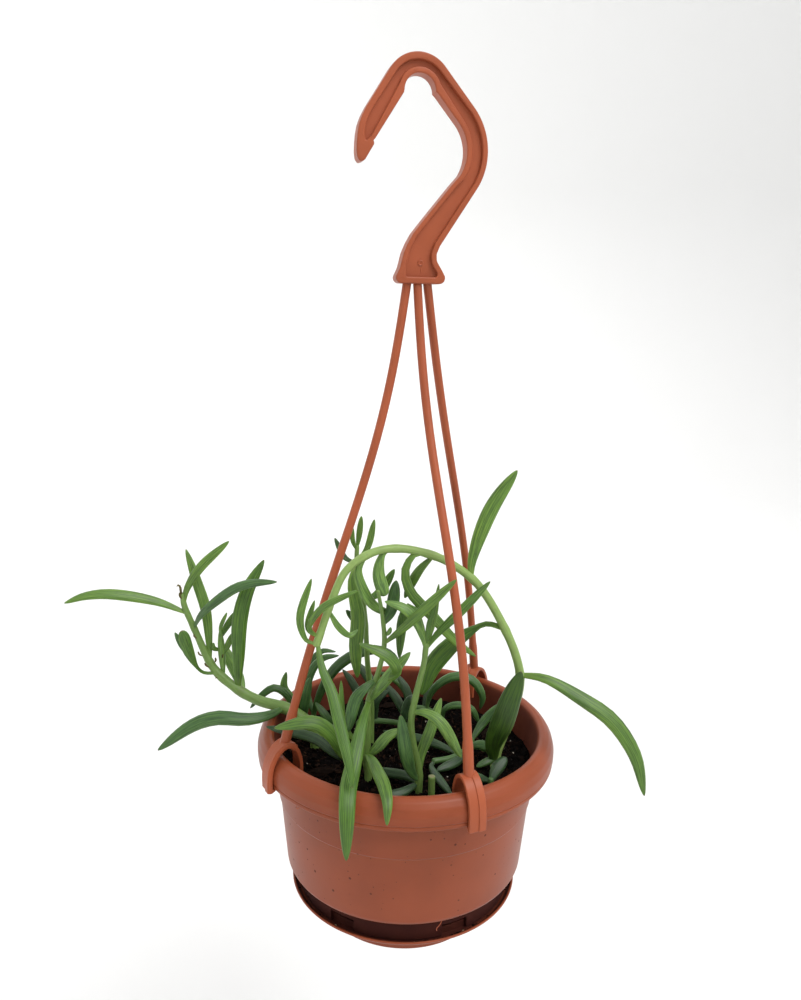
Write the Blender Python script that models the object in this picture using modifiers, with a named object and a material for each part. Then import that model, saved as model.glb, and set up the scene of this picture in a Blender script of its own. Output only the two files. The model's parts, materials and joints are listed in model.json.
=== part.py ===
"""A string of fishhooks in its hanging pot, at real size, in metres, +Z up.

The origin is the seat of the hook, where the pot hangs, and the pot's axis runs straight down from it.
Every point below is in millimetres from the middle of the pot's rim, and place() turns it into metres
from the seat.
"""

import math

import bmesh
import bpy
from mathutils import Vector

MM = 0.001
WELD = 0.001 * MM
NAME = "hanging_string_of_fishhooks"

# Hanging height: from the hook's seat down to the plane of the rim's inner edge.
RIM_DROP = 304.5

# Pot, radii and heights
TURN_STEPS = 36
WALL = 1.6
RIM_INNER_R = 66.6
COLLAR_R = 74.6
LIP_Z = -12.9
STEP_Z = -33.5
POT_FLOOR_Z = -67.6
POT_BASE_Z = -70.3
POT_BASE_R = 59.4
FOOT_R = 54.0
FOOT_Z = -83.3
DRAIN_HOLES = 6
DRAIN_R = 4.0
DRAIN_RING_R = 35.0
SLOTS = 6
SLOT_WIDTH = 13.6
SLOT_TOP_Z = -77.0
FIRST_SLOT = math.radians(-63)

# Saucer
SAUCER_LIP_R = 58.0
SAUCER_LIP_Z = -81.6
SAUCER_WALL = 1.4
SAUCER_FLOOR_Z = -92.3
STAND_R = 43.0
STAND_Z = -97.2
SPIGOT_Z = -79.8
FIT = 0.3

# Soil
SOIL_Z = -16.4
SOIL_R = 63.5
SOIL_FOOT_R = 56.4
SOIL_SIDES = 30
SOIL_RINGS = 4
LUMP = 0.8
HOLE_DEPTH_Z = -23.0
HOLE_SLACK = 0.5

# Hook plate, seen square on: u runs along it and z up, from its seat
HOOK_YAW = math.radians(15)
HOOK_THICK = 7.0
LIMB_EDGE = [(-27.9, -33.0), (-27.8, -29.2), (-27.5, -25.5), (-26.8, -21.9), (-25.5, -18.4), (-23.8, -15.1)]
WEB_THICK = 3.0
SEAT_R = 7.0
CROWN_R = 15.4
BEND_MIDDLE = (3.9, -30.6)
BEND_R = 28.0
BAND = 9.8
BORDER = 2.5

# Rods and rim clips
ROD_R = 2.0
SLEEVE_R = 2.4
SLEEVE_LENGTH = 16.0
ROD_TOP_Z = -86.0
ROD_SPACING = 4.6
ROD_SHIFT = 1.2
ROD_POINTS = 12
CLIP_ANGLES = {"left": 212, "front": -66, "back": 54.5}
ROD_SWAY = {"left": (0.04, 0.07), "front": (0.08, -0.02), "back": (0.04, -0.05)}
CLIP_WIDTH = 8.2
CLIP_THICK = 1.8
CLIP_TOP = (67.0, 6.6)
RIB_HEIGHT = 0.5

# Leaves and stems
LEAF_SIDES = 6
LONG_LEAF = 34.0
LONG_STATIONS = (0, 0.1, 0.24, 0.42, 0.6, 0.78, 0.92, 1)
SHORT_STATIONS = (0, 0.18, 0.42, 0.7, 0.9, 1)
LEAF_FOOT = 0.42
FLATNESS = 0.5
LEAF_FINENESS = 8
LEAF_FACING = (0.1, -0.75, 0.65)
STEM_FACING = (0.31, -0.9, 0.3)
STEM_REACH = 4.0
STEM_SIDES = 6
STEM_STATIONS = 2
ROOT_Z = -21.0
COLLAR_Z = -13.0

LIGHT_GREEN = (0.30, 0.46, 0.13)
LEAF_GREEN = (0.12, 0.26, 0.07)
DARK_GREEN = (0.045, 0.13, 0.055)
TERRACOTTA = (0.33, 0.095, 0.05)

# Stems. Each has its route from the root up, its radius at the root and at the tip, and its leaves:
# the points that a leaf passes, from where it leaves the stem to its tip, its width, its thickness
# for its width where it isn't the usual one, and the share of its length that is a narrow stalk.
STEMS = {
    "trailing_stem": dict(
        colour=LEAF_GREEN,
        radii=(3.6, 1.3),
        route=[(-46, 5, COLLAR_Z), (-47, 5, -8), (-52, 5, -2), (-60, 6, 3), (-67, 7, 5), (-76, 8, 7), (-87, 10, 12),
               (-100, 12, 23), (-109, 14, 42), (-114, 14, 55), (-115, 14, 62)],
        leaves=[
            ([(-112, 13, 52), (-128, 11, 59), (-147, 6, 64), (-160, 3, 64), (-170, 0, 61)], 5.8),
            ([(-101, 14, 26), (-104, 18, 50), (-109, 21, 66), (-115, 24, 83)], 5.6),
            ([(-114, 14, 57), (-112, 13, 66), (-104, 12, 78), (-90, 12, 91)], 5.2),
            ([(-110, 13, 44), (-103, 7, 55), (-88, 3, 68), (-77, 0, 73), (-64, -3, 75)], 5.4),
            ([(-87, 10, 12), (-86, 8, 30), (-85, 8, 50), (-81, 10, 66), (-73, 14, 81)], 8.0),
            ([(-94, 12, 18), (-96, 15, 28), (-97, 17, 42)], 3.8, 1.0),
            ([(-97, 17, 37), (-94, 18, 43), (-88, 20, 52)], 3.8),
            ([(-97, 17, 38), (-97, 19, 43), (-94, 21, 50)], 2.2),
            ([(-96, 15, 28), (-93, 15, 34), (-90, 16, 41)], 3.4),
            ([(-97, 16, 31), (-100, 14, 33), (-100, 14, 36)], 2.6, 0.8),
            ([(-84, 10, 11), (-89, 20, 15), (-99, 27, 31)], 6.4),
            ([(-97, 11, 21), (-105, 7, 23), (-110, 1, 35), (-115, -3, 49)], 6.0),
            ([(-63, 6, 4), (-70, -7, 6), (-80, -11, 6), (-94, -12, 7), (-107, -12, 2), (-123, -14, -10)], 7.4),
        ],
    ),
    "arching_stem": dict(
        colour=LIGHT_GREEN,
        radii=(2.2, 1.7),
        route=[(44, -19, COLLAR_Z), (45, -19, -4), (50, -20, 13), (54, -20, 31), (51, -20, 47), (42, -20, 66),
               (32, -20, 81), (20, -22, 91), (8, -25, 97), (-5, -28, 100), (-17, -32, 99), (-28, -36, 92),
               (-34, -39, 80), (-41, -42, 59)],
        leaves=[
            ([(-41, -42, 60), (-38, -48, 50), (-33, -54, 41), (-29, -61, 29), (-25, -68, 17), (-23, -73, 7)], 5.4),
            ([(-41, -42, 59), (-46, -43, 62), (-48, -44, 73), (-43, -43, 90)], 3.6),
            ([(-40, -42, 62), (-45, -42, 67), (-42, -40, 79)], 2.6),
            ([(-40, -42, 62), (-44, -44, 68), (-37, -48, 79), (-22, -52, 88)], 3.6),
            ([(-36, -40, 75), (-32, -37, 66), (-27, -33, 60), (-23, -31, 62)], 3.4),
            ([(-20, -33, 98), (-23, -34, 91), (-21, -32, 82), (-16, -29, 73), (-7, -25, 67)], 5.2),
            ([(-6, -28, 101), (-12, -30, 98), (-14, -31, 89), (-11, -33, 79)], 6.2, 0.7),
            ([(9, -25, 97), (2, -27, 97), (-2, -27, 89), (1, -25, 78), (12, -22, 65), (22, -19, 53), (33, -15, 43)], 5.6),
            ([(11, -24, 96), (5, -23, 89), (1, -20, 81), (-2, -18, 73)], 4.6),
            ([(29, -21, 84), (29, -20, 93), (33, -17, 106), (39, -14, 119), (49, -12, 134)], 7.2),
            ([(45, -20, 59), (37, -18, 61), (30, -15, 56), (21, -13, 48), (12, -12, 36), (7, -14, 22)], 9.2, 0.4, 0.22),
            ([(54, -20, 36), (66, -24, 36), (82, -27, 28), (97, -30, 18), (108, -33, 2), (113, -36, -17)], 8.0),
            ([(44, -19, -11), (42, -26, 3), (45, -30, 16), (48, -31, 28), (53, -29, 42)], 11.0, 0.4),
            ([(45, -19, -9), (41, -23, -7), (34, -26, -9)], 3.6),
        ],
    ),
    "centre_left_stem": dict(
        colour=LEAF_GREEN,
        radii=(1.9, 0.8),
        route=[(-18, -27, COLLAR_Z), (-19, -28, -4), (-18, -30, 11), (-18, -31, 26), (-14, -32, 40), (-11, -32, 55),
               (-12, -34, 70), (-14, -38, 83)],
        leaves=[
            ([(-18, -31, 27), (-20, -41, 22), (-22, -51, 15), (-24, -60, 7), (-25, -69, 4), (-25, -77, -4),
              (-25, -80, -23)], 7.6, 0.45),
            ([(-11, -32, 56), (-2, -40, 67), (7, -45, 78), (20, -50, 93)], 4.8),
            ([(-15, -32, 38), (-19, -36, 36), (-24, -38, 30), (-27, -39, 15)], 5.8),
            ([(-18, -31, 26), (-12, -36, 37), (-5, -38, 47), (1, -37, 54)], 5.4),
            ([(-15, -32, 38), (-8, -38, 42), (-5, -44, 49), (-10, -46, 56), (-22, -45, 61)], 5.4),
            ([(-18, -29, 3), (-26, -32, 9), (-30, -32, 20), (-31, -29, 36)], 3.0),
            ([(-19, -28, -2), (-16, -42, 3), (-13, -54, 4), (-10, -66, 5), (-8, -75, 2), (-8, -80, -6)], 6.2, 0.4),
            ([(-18, -28, -4), (-14, -30, 2), (-9, -28, 7), (-3, -26, 10)], 5.4),
            ([(-19, -28, -5), (-29, -33, 0), (-34, -39, 13), (-43, -44, 22), (-60, -46, 20)], 7.2),
            ([(-19, -28, -6), (-32, -30, -2), (-43, -26, 4), (-56, -23, 6), (-68, -20, 7)], 5.2),
            ([(-12, -32, 60), (-9, -34, 62), (-8, -35, 65)], 2.2),
            ([(-12, -32, 66), (-8, -29, 71), (-6, -28, 85)], 5.8, 0.6),
        ],
    ),
    "centre_right_stem": dict(
        colour=LEAF_GREEN,
        radii=(1.9, 1.2),
        route=[(6, -38, COLLAR_Z), (6, -38, -4), (3, -38, 10), (2, -38, 21), (4, -38, 34), (7, -38, 48), (8, -38, 58)],
        leaves=[
            ([(8, -38, 57), (9, -38, 67), (12, -38, 79)], 2.6),
            ([(8, -38, 57), (11, -37, 68), (13, -38, 87)], 2.6),
            ([(8, -38, 56), (13, -37, 63), (23, -33, 72), (37, -27, 85)], 4.4),
            ([(8, -38, 57), (4, -38, 68), (-2, -38, 75), (-11, -37, 78)], 5.0),
            ([(8, -38, 56), (5, -33, 66), (0, -28, 72), (-3, -26, 63), (-4, -26, 46)], 5.2),
            ([(3, -38, 25), (9, -43, 27), (16, -46, 23), (25, -46, 7)], 5.6, 0.7),
            ([(6, -38, -9), (3, -43, -3), (0, -46, 8), (-3, -45, 27)], 6.4),
            ([(6, -38, -9), (7, -35, 2), (11, -33, 13), (16, -29, 28)], 5.4, 0.6),
            ([(4, -38, 32), (1, -33, 28), (-2, -30, 15)], 5.0),
            ([(6, -38, -11), (0, -31, -11.5), (-7, -28, -12), (-16, -25, -12)], 5.0, 0.7),
            ([(6, -38, -11), (-2, -45, -12), (-12, -48, -12)], 4.6, 0.7),
        ],
    ),
    "back_left_stem": dict(
        colour=LEAF_GREEN,
        radii=(1.7, 1.0),
        route=[(-18, 8, COLLAR_Z), (-18, 7, 8), (-20, 2, 33), (-21, -2, 56), (-23, -6, 75), (-25, -8, 87),
               (-25, -8, 95)],
        leaves=[
            ([(-25, -8, 94), (-24, -8, 101), (-23, -8, 110)], 3.0),
            ([(-25, -8, 93), (-27, -10, 99), (-27, -10, 105)], 2.4),
            ([(-25, -8, 88), (-20, -5, 94), (-17, -2, 107)], 3.4),
            ([(-25, -8, 87), (-31, -6, 89), (-36, -4, 98)], 3.0),
            ([(-25, -8, 86), (-27, -12, 78), (-24, -14, 62), (-25, -15, 46), (-24, -15, 31)], 7.2),
            ([(-21, -3, 52), (-25, -7, 57), (-30, -11, 64)], 4.0),
            ([(-22, -4, 66), (-14, 0, 70), (-7, 2, 81)], 4.6),
        ],
    ),
    "creeper_back_left": dict(
        colour=DARK_GREEN,
        radii=(1.7, 1.5),
        route=[(-35, 13, COLLAR_Z), (-37, 14, -11), (-44, 17, -11), (-51, 19, -10.5), (-57, 18, -9)],
        leaves=[
            ([(-50, 19, -10), (-47, 18, 2), (-42, 16, 15), (-35, 14, 25), (-26, 12, 32), (-16, 11, 35), (-8, 12, 32),
              (-3, 14, 25)], 5.8, 0.8),
            ([(-53, 19, -10), (-54, 24, 2), (-51, 26, 15), (-45, 26, 23), (-36, 26, 25)], 4.6, 0.7),
            ([(-47, 18, -10), (-54, 28, 5), (-52, 31, 17), (-46, 31, 25), (-38, 31, 25)], 4.2, 0.7),
            ([(-56, 18, -9), (-54, 14, -2), (-53, 13, 7), (-50, 13, 18)], 6.2),
            ([(-57, 18, -9), (-60, 20, 1), (-65, 22, 8), (-64, 24, 16)], 4.4),
            ([(-57, 18, -9), (-62, 18, 4), (-69, 17, 10), (-76, 16, 6), (-82, 15, -1)], 4.2, 0.8),
            ([(-38, 14, -11), (-39, 7, -5), (-42, 6, 1), (-47, 9, 6)], 4.4),
        ],
    ),
    "creeper_middle": dict(
        colour=DARK_GREEN,
        radii=(1.6, 1.4),
        route=[(-25, 21, COLLAR_Z), (-24, 22, -11), (-16, 23, -11), (-7, 22, -11), (2, 19, -11)],
        leaves=[
            ([(-24, 22, -11), (-25, 21, 3), (-29, 22, 12), (-34, 24, 18)], 4.6),
            ([(-16, 23, -11), (-17, 26, 5), (-23, 29, 15), (-31, 30, 21)], 5.4),
            ([(1, 19, -11), (-3, 22, -1), (-7, 25, 4), (-13, 29, 9)], 4.8),
            ([(-16, 23, -10), (-17, 21, -3), (-15, 21, 3), (-9, 23, 7)], 4.6),
            ([(2, 19, -11), (2, 17, 1), (0, 18, 10), (-5, 21, 17)], 4.8),
        ],
    ),
    "creeper_back": dict(
        colour=DARK_GREEN,
        radii=(1.7, 1.5),
        route=[(4, 40, COLLAR_Z), (6, 39, -11), (12, 37, -11), (18, 31, -11), (20, 25, -11)],
        leaves=[
            ([(12, 37, -11), (13, 36, -3), (17, 34, 5), (26, 33, 11), (36, 33, 9), (42, 33, 0), (41, 34, -9)], 5.2, 0.9),
            ([(20, 25, -11), (21, 24, -4), (27, 23, -1), (35, 23, -3), (40, 24, -12)], 4.2, 0.9),
            ([(5, 39, -11), (-3, 45, 1), (-15, 48, 6)], 4.8, 0.7),
            ([(10, 38, -11), (13, 46, 0), (11, 50, 10)], 4.6),
        ],
    ),
    "creeper_right": dict(
        colour=DARK_GREEN,
        radii=(1.7, 1.4),
        route=[(34, 6, COLLAR_Z), (34, 4, -11.5), (32, -3, -11.5), (28, -9, -11.5), (22, -14, -11.5), (14, -17, -11.5)],
        leaves=[
            ([(32, -3, -11.5), (38, -4, -9.5), (45, -8, -10.5)], 5.4, 0.8),
            ([(27, -10, -11.5), (17, 0, -12), (7, 6, -12), (-3, 9, -12), (-12, 14, -12)], 5.2, 0.7),
            ([(28, -9, -11.5), (26, -17, -11), (15, -25, -12)], 4.8, 0.7),
            ([(14, -17, -11.5), (13, -25, -11.5), (21, -46, -12)], 4.2, 0.7),
            ([(34, 4, -11), (41, 11, -4), (50, 14, 5)], 4.8, 0.7),
        ],
    ),
    "rim_shoot": dict(
        colour=DARK_GREEN,
        radii=(1.6, 1.2),
        route=[(40, -37, COLLAR_Z), (40, -37, -9)],
        leaves=[
            ([(40, -37, -10), (43, -33, -6), (48, -29, -2)], 6.0),
            ([(40, -37, -10), (32, -32, -11), (23, -33, -12)], 5.0, 0.7),
        ],
    ),
    "cut_stem": dict(
        colour=LEAF_GREEN,
        radii=(1.6, 1.6),
        route=[(12, -42, COLLAR_Z), (12, -42, -5)],
        leaves=[],
    ),
}


def place(x, y, z):
    """A point in millimetres from the middle of the rim, in metres from the hook's seat."""
    return Vector((x, y, z - RIM_DROP)) * MM


def clear_scene():
    for obj in list(bpy.data.objects):
        bpy.data.objects.remove(obj)


def collection(name, helpers=False):
    made = bpy.data.collections.new(name)
    bpy.context.scene.collection.children.link(made)
    made.hide_render = helpers
    return made


def material(name, colour, roughness, metallic=0.0):
    made = bpy.data.materials.new(name)
    made.use_nodes = True
    shader = made.node_tree.nodes["Principled BSDF"]
    shader.inputs["Base Color"].default_value = (*colour, 1)
    shader.inputs["Roughness"].default_value = roughness
    shader.inputs["Metallic"].default_value = metallic
    made.diffuse_color = (*colour, 1)
    return made


def link(mesh, name, group, finish=None):
    obj = bpy.data.objects.new(name, mesh)
    group.objects.link(obj)
    if finish:
        mesh.materials.append(finish)
    return obj


def smooth(obj, angle=40):
    obj.data.shade_smooth()
    obj.data.set_sharp_from_angle(angle=math.radians(angle))


def turned(name, profile, group, finish):
    """Turns a profile of radii and heights round the pot's axis."""
    mesh = bpy.data.meshes.new(name)
    points = [place(r, 0, z) for r, z in profile]
    mesh.from_pydata(points, [(i, i + 1) for i in range(len(points) - 1)], [])
    obj = link(mesh, name, group, finish)
    screw = obj.modifiers.new("turn", "SCREW")
    screw.steps = screw.render_steps = TURN_STEPS
    screw.use_merge_vertices = True
    screw.merge_threshold = 10 * WELD
    screw.use_smooth_shade = True
    return obj


def cylinder(name, radius, bottom, top, group, sides=16):
    """An upright cylinder between two points in millimetres."""
    bm = bmesh.new()
    height = top[2] - bottom[2]
    bmesh.ops.create_cone(bm, cap_ends=True, segments=sides, radius1=radius * MM, radius2=radius * MM,
                          depth=height * MM)
    mesh = bpy.data.meshes.new(name)
    bm.to_mesh(mesh)
    bm.free()
    obj = link(mesh, name, group)
    obj.location = place(bottom[0], bottom[1], (bottom[2] + top[2]) / 2)
    return obj


def cutter(obj):
    obj.hide_render = True
    obj.display_type = "WIRE"
    return obj


def cut(obj, others, name):
    """Cuts every object of a collection of cutters out of obj."""
    boolean = obj.modifiers.new(name, "BOOLEAN")
    boolean.operation = "DIFFERENCE"
    boolean.operand_type = "COLLECTION"
    boolean.collection = others


def fuse(obj, pieces):
    """Joins the objects of a collection to obj in one solid, and removes them."""
    boolean = obj.modifiers.new("join", "BOOLEAN")
    boolean.operation = "UNION"
    boolean.operand_type = "COLLECTION"
    boolean.collection = pieces
    apply_modifiers(obj)
    keep_largest(obj.data)
    for piece in list(pieces.objects):
        bpy.data.objects.remove(piece)
    bpy.data.collections.remove(pieces)


def keep_largest(mesh):
    """Drops the loose scraps and sealed hollows that a join can leave."""
    bm = bmesh.new()
    bm.from_mesh(mesh)
    left = set(bm.faces)
    islands = []
    while left:
        found = {left.pop()}
        island = set()
        while found:
            island |= found
            edges = {e for face in found for e in face.edges if len(e.link_faces) == 2}
            found = {face for e in edges for face in e.link_faces} - island
        left -= island
        islands.append(island)
    islands.sort(key=len)
    bmesh.ops.delete(bm, geom=[face for island in islands[:-1] for face in island], context="FACES")
    bmesh.ops.remove_doubles(bm, verts=bm.verts, dist=WELD)
    bm.to_mesh(mesh)
    bm.free()


def curve_to_mesh(obj, group):
    """Replaces a curve by its mesh, with the caps welded on."""
    bpy.context.view_layer.update()
    mesh = bpy.data.meshes.new_from_object(obj.evaluated_get(bpy.context.evaluated_depsgraph_get()))
    bm = bmesh.new()
    bm.from_mesh(mesh)
    bmesh.ops.remove_doubles(bm, verts=bm.verts, dist=WELD)
    bmesh.ops.recalc_face_normals(bm, faces=bm.faces)
    bm.to_mesh(mesh)
    bm.free()
    made = bpy.data.objects.new(obj.name + "_solid", mesh)
    made.matrix_world = obj.matrix_world
    group.objects.link(made)
    bpy.data.objects.remove(obj)
    return made


def plate(name, outline, thickness, group):
    """A flat outline in its own XY plane, given a thickness, as a mesh. Its points are in millimetres."""
    curve = bpy.data.curves.new(name, "CURVE")
    curve.dimensions = "2D"
    curve.fill_mode = "BOTH"
    curve.extrude = thickness * MM / 2
    spline = curve.splines.new("POLY")
    spline.points.add(len(outline) - 1)
    for point, (u, v) in zip(spline.points, outline):
        point.co = (u * MM, v * MM, 0, 1)
    spline.use_cyclic_u = True
    obj = bpy.data.objects.new(name, curve)
    group.objects.link(obj)
    return curve_to_mesh(obj, group)


def stand_up(obj, foot, angle):
    """Stands a plate up on edge, with its x along the level direction at the angle and its y up."""
    obj.rotation_euler = (math.pi / 2, 0, angle)
    obj.location = foot


def arc(middle, radius, start, end, count):
    """Points of a round stretch. Angles are in degrees."""
    steps = (math.radians(start + (end - start) * i / (count - 1)) for i in range(count))
    return [(middle[0] + radius * math.cos(a), middle[1] + radius * math.sin(a)) for a in steps]


def smooth_route(points, per_span):
    """Points on a smooth curve that passes through the given ones."""
    points = [Vector(p) for p in points]
    ends = [2 * points[0] - points[1], *points, 2 * points[-1] - points[-2]]
    found = []
    for i in range(1, len(ends) - 2):
        a, b, c, d = ends[i - 1:i + 3]
        for k in range(per_span):
            t = k / per_span
            found.append(0.5 * (2 * b + (c - a) * t + (2 * a - 5 * b + 4 * c - d) * t * t
                                + (3 * b - a - 3 * c + d) * t ** 3))
    return [*found, points[-1]]


def along(route, share):
    """The point that lies this share of the way along a route."""
    lengths = [(b - a).length for a, b in zip(route, route[1:])]
    left = share * sum(lengths)
    for a, b, length in zip(route, route[1:], lengths):
        if left <= length:
            return a.lerp(b, left / length)
        left -= length
    return route[-1].copy()


def loft(name, centres, halves, group, facing, sides, pointed):
    """A solid along its centres, with an oval section whose half width and half thickness are given."""
    bm = bmesh.new()
    rings = []
    for i, (centre, (half_width, half_thick)) in enumerate(zip(centres, halves)):
        ahead = (centres[min(i + 1, len(centres) - 1)] - centres[max(i - 1, 0)]).normalized()
        across = ahead.cross(facing).normalized()
        out = across.cross(ahead)
        if pointed and i == len(centres) - 1:
            rings.append([bm.verts.new(place(*centre))])
            continue
        ring = []
        for k in range(sides):
            a = 2 * math.pi * k / sides
            ring.append(bm.verts.new(place(*(centre + across * half_width * math.cos(a)
                                             + out * half_thick * math.sin(a)))))
        rings.append(ring)
    for low, high in zip(rings, rings[1:]):
        for k in range(sides):
            n = (k + 1) % sides
            if len(high) == 1:
                bm.faces.new((low[k], low[n], high[0]))
            else:
                bm.faces.new((low[k], low[n], high[n]))
                bm.faces.new((low[k], high[n], high[k]))
    bm.faces.new(rings[0])
    if not pointed:
        bm.faces.new(rings[-1])
    bmesh.ops.recalc_face_normals(bm, faces=bm.faces)
    mesh = bpy.data.meshes.new(name)
    bm.to_mesh(mesh)
    bm.free()
    return link(mesh, name, group)


def make_pot(group, cutters, finish):
    """A thin wall with a floor, an open rolled collar at the rim and a foot ring under it."""
    profile = [
        (0, POT_FLOOR_Z),
        (57.4, POT_FLOOR_Z),
        (58.7, POT_FLOOR_Z + 1.5),
        (62.0, STEP_Z),
        (64.3, LIP_Z),
        (65.7, -4),
        (RIM_INNER_R, -0.6),
        (67.6, 0.6),
        (69.6, 0.9),
        (71.8, -0.4),
        (73.6, -3.0),
        (COLLAR_R, -6.5),
        (COLLAR_R, LIP_Z + 2.7),
        (COLLAR_R - 0.6, LIP_Z + 2.2),
        (COLLAR_R - 0.3, LIP_Z + 1.7),
        (COLLAR_R - 0.3, LIP_Z),
        (COLLAR_R - 0.3 - WALL, LIP_Z),
        (COLLAR_R - 0.3 - WALL, -6.5),
        (71.0, -3.2),
        (68.6, -1.8),
        (67.3, -5.0),
        (65.9, LIP_Z),
        (64.3, STEP_Z + 0.4),
        (63.6, STEP_Z - 0.3),
        (60.4, POT_BASE_Z + 1.6),
        (POT_BASE_R, POT_BASE_Z),
        (POT_BASE_R - 1.2, POT_BASE_Z),
        (POT_BASE_R - 2.2, POT_FLOOR_Z - 1.8),
        (FOOT_R, POT_FLOOR_Z - 1.8),
        (FOOT_R, FOOT_Z),
        (FOOT_R - WALL, FOOT_Z),
        (FOOT_R - WALL, POT_FLOOR_Z - 1.8),
        (0, POT_FLOOR_Z - 1.8),
    ]
    pot = turned("pot", profile, group, finish)
    for i in range(DRAIN_HOLES):
        a = 2 * math.pi * i / DRAIN_HOLES
        x, y = DRAIN_RING_R * math.cos(a), DRAIN_RING_R * math.sin(a)
        cutter(cylinder(f"drain_hole_{i}", DRAIN_R, (x, y, POT_BASE_Z - 5), (x, y, POT_FLOOR_Z + 5), cutters))
    for i in range(SLOTS):
        a = FIRST_SLOT + 2 * math.pi * i / SLOTS
        bm = bmesh.new()
        bmesh.ops.create_cube(bm, size=MM)
        height = SLOT_TOP_Z - FOOT_Z + 2
        bmesh.ops.scale(bm, vec=(6 * WALL, SLOT_WIDTH, height), verts=bm.verts)
        mesh = bpy.data.meshes.new("slot")
        bm.to_mesh(mesh)
        bm.free()
        slot = cutter(link(mesh, f"slot_{i}", cutters))
        r = FOOT_R - WALL / 2
        slot.location = place(r * math.cos(a), r * math.sin(a), SLOT_TOP_Z - height / 2)
        slot.rotation_euler = (0, 0, a)
    cut(pot, cutters, "drain holes and slots")
    return pot


def make_saucer(group, finish):
    """A dish with a flange under the pot's foot ring, a spigot inside it, and a stand ring of its own."""
    flange = FOOT_Z - FIT
    spigot_r = FOOT_R - WALL - FIT
    profile = [
        (0, SAUCER_FLOOR_Z),
        (STAND_R - 1.6, SAUCER_FLOOR_Z),
        (44.4, SAUCER_FLOOR_Z + 1.8),
        (spigot_r - SAUCER_WALL, flange - 1.6),
        (spigot_r - SAUCER_WALL, SPIGOT_Z),
        (spigot_r, SPIGOT_Z),
        (spigot_r, flange),
        (FOOT_R + 0.8, flange),
        (SAUCER_LIP_R - 1.2, SAUCER_LIP_Z),
        (SAUCER_LIP_R - 0.3, SAUCER_LIP_Z + 0.3),
        (SAUCER_LIP_R, SAUCER_LIP_Z - 0.5),
        (SAUCER_LIP_R - 0.6, SAUCER_LIP_Z - 1.2),
        (FOOT_R + 0.6, flange - SAUCER_WALL),
        (52.0, flange - SAUCER_WALL - 0.6),
        (45.6, SAUCER_FLOOR_Z + 0.2),
        (STAND_R + 0.3, SAUCER_FLOOR_Z - 1.8),
        (STAND_R, STAND_Z),
        (STAND_R - 1.8, STAND_Z),
        (STAND_R - 2.0, SAUCER_FLOOR_Z - SAUCER_WALL - 0.2),
        (0, SAUCER_FLOOR_Z - SAUCER_WALL - 0.2),
    ]
    return turned("saucer", profile, group, finish)


def soil_height(x, y):
    """Height of the soil, a little uneven, in millimetres."""
    lumps = math.sin(0.21 * x + 1.3) * math.cos(0.17 * y) + 0.6 * math.sin(0.37 * y - 0.29 * x + 0.5)
    return SOIL_Z + LUMP * lumps / 1.6


def make_soil(group, cutters, finish):
    """A plug of potting mix that fills the pot, with a plain hole for each stem."""
    bm = bmesh.new()
    bmesh.ops.create_cone(bm, cap_ends=True, segments=SOIL_SIDES, radius1=SOIL_FOOT_R, radius2=SOIL_R,
                          depth=SOIL_Z - POT_FLOOR_Z - FIT)
    top = max(bm.faces, key=lambda face: face.calc_center_median().z)
    for ring in range(SOIL_RINGS):
        bmesh.ops.inset_region(bm, faces=[top], thickness=SOIL_R / (SOIL_RINGS + 0.6), use_even_offset=True)
    middle = (SOIL_Z + POT_FLOOR_Z + FIT) / 2
    for vert in bm.verts:
        x, y, z = vert.co
        vert.co = place(x, y, soil_height(x, y) if z > 0 else z + middle)
    bmesh.ops.triangulate(bm, faces=bm.faces)
    mesh = bpy.data.meshes.new("soil")
    bm.to_mesh(mesh)
    bm.free()
    soil = link(mesh, "soil", group, finish)
    for name, stem in STEMS.items():
        x, y = stem["route"][0][:2]
        hole = cylinder(name + "_hole", stem["radii"][0] + HOLE_SLACK, (x, y, HOLE_DEPTH_Z), (x, y, 0), cutters)
        cutter(hole)
    cut(soil, cutters, "holes for the stems")
    return soil


def hook_outline():
    """The hook's edge, clockwise from the blunt tip, up over the crown and down to the foot."""
    u, v = BEND_MIDDLE
    return [
        (-26.2, -37.3),
        (-27.5, -35.8),
        *LIMB_EDGE,
        *arc((-0.3, -7), CROWN_R, 147, 44, 11),
        *arc((u, v), BEND_R, 42, -33, 9),
        (10.7, -71.0),
        (9.2, -74.6),
        (9.4, -77.6),
        (12.0, -81.6),
        *arc((10.8, -84.9), 2.7, 40, -90, 5),
        *arc((-7.1, -85.1), 2.5, -90, -210, 5),
        (-7.8, -80.8),
        (-6.1, -74.1),
        (-4.3, -70.0),
        (-1.9, -65.8),
        (2.9, -59.8),
        (15.4, -44.7),
        *arc((u, v), BEND_R - BAND, -33, 42, 7),
        (8.0, -7.8),
        *arc((0, -SEAT_R), SEAT_R, 0, 180, 9),
        (-7.2, -8.2),
        (-19.8, -27.8),
        (-20.4, -28.2),
        (-20.0, -29.7),
        (-24.2, -36.6),
    ]


def recess_outline():
    """The edge of the sunk face, which leaves a border all round."""
    u, v = BEND_MIDDLE
    return [
        (-23.9, -28.7),
        (-24.4, -26.0),
        (-24.0, -22.5),
        (-22.6, -18.8),
        (-20.8, -15.4),
        *arc((-0.3, -7), CROWN_R - BORDER - 0.5, 147, 44, 9),
        *arc((u, v), BEND_R - BORDER, 42, -33, 8),
        (8.2, -69.9),
        (6.6, -74.6),
        (6.9, -78.4),
        (9.9, -83.2),
        (9.2, -84.6),
        (-5.0, -84.6),
        (-5.0, -80.0),
        (-3.5, -73.6),
        (-0.5, -67.4),
        (4.8, -60.8),
        (17.4, -45.6),
        *arc((u, v), BEND_R - BAND + BORDER, -33, 42, 7),
        *arc((0, -SEAT_R), SEAT_R + BORDER, 20, 165, 7),
        (-21.5, -26.6),
    ]


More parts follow.
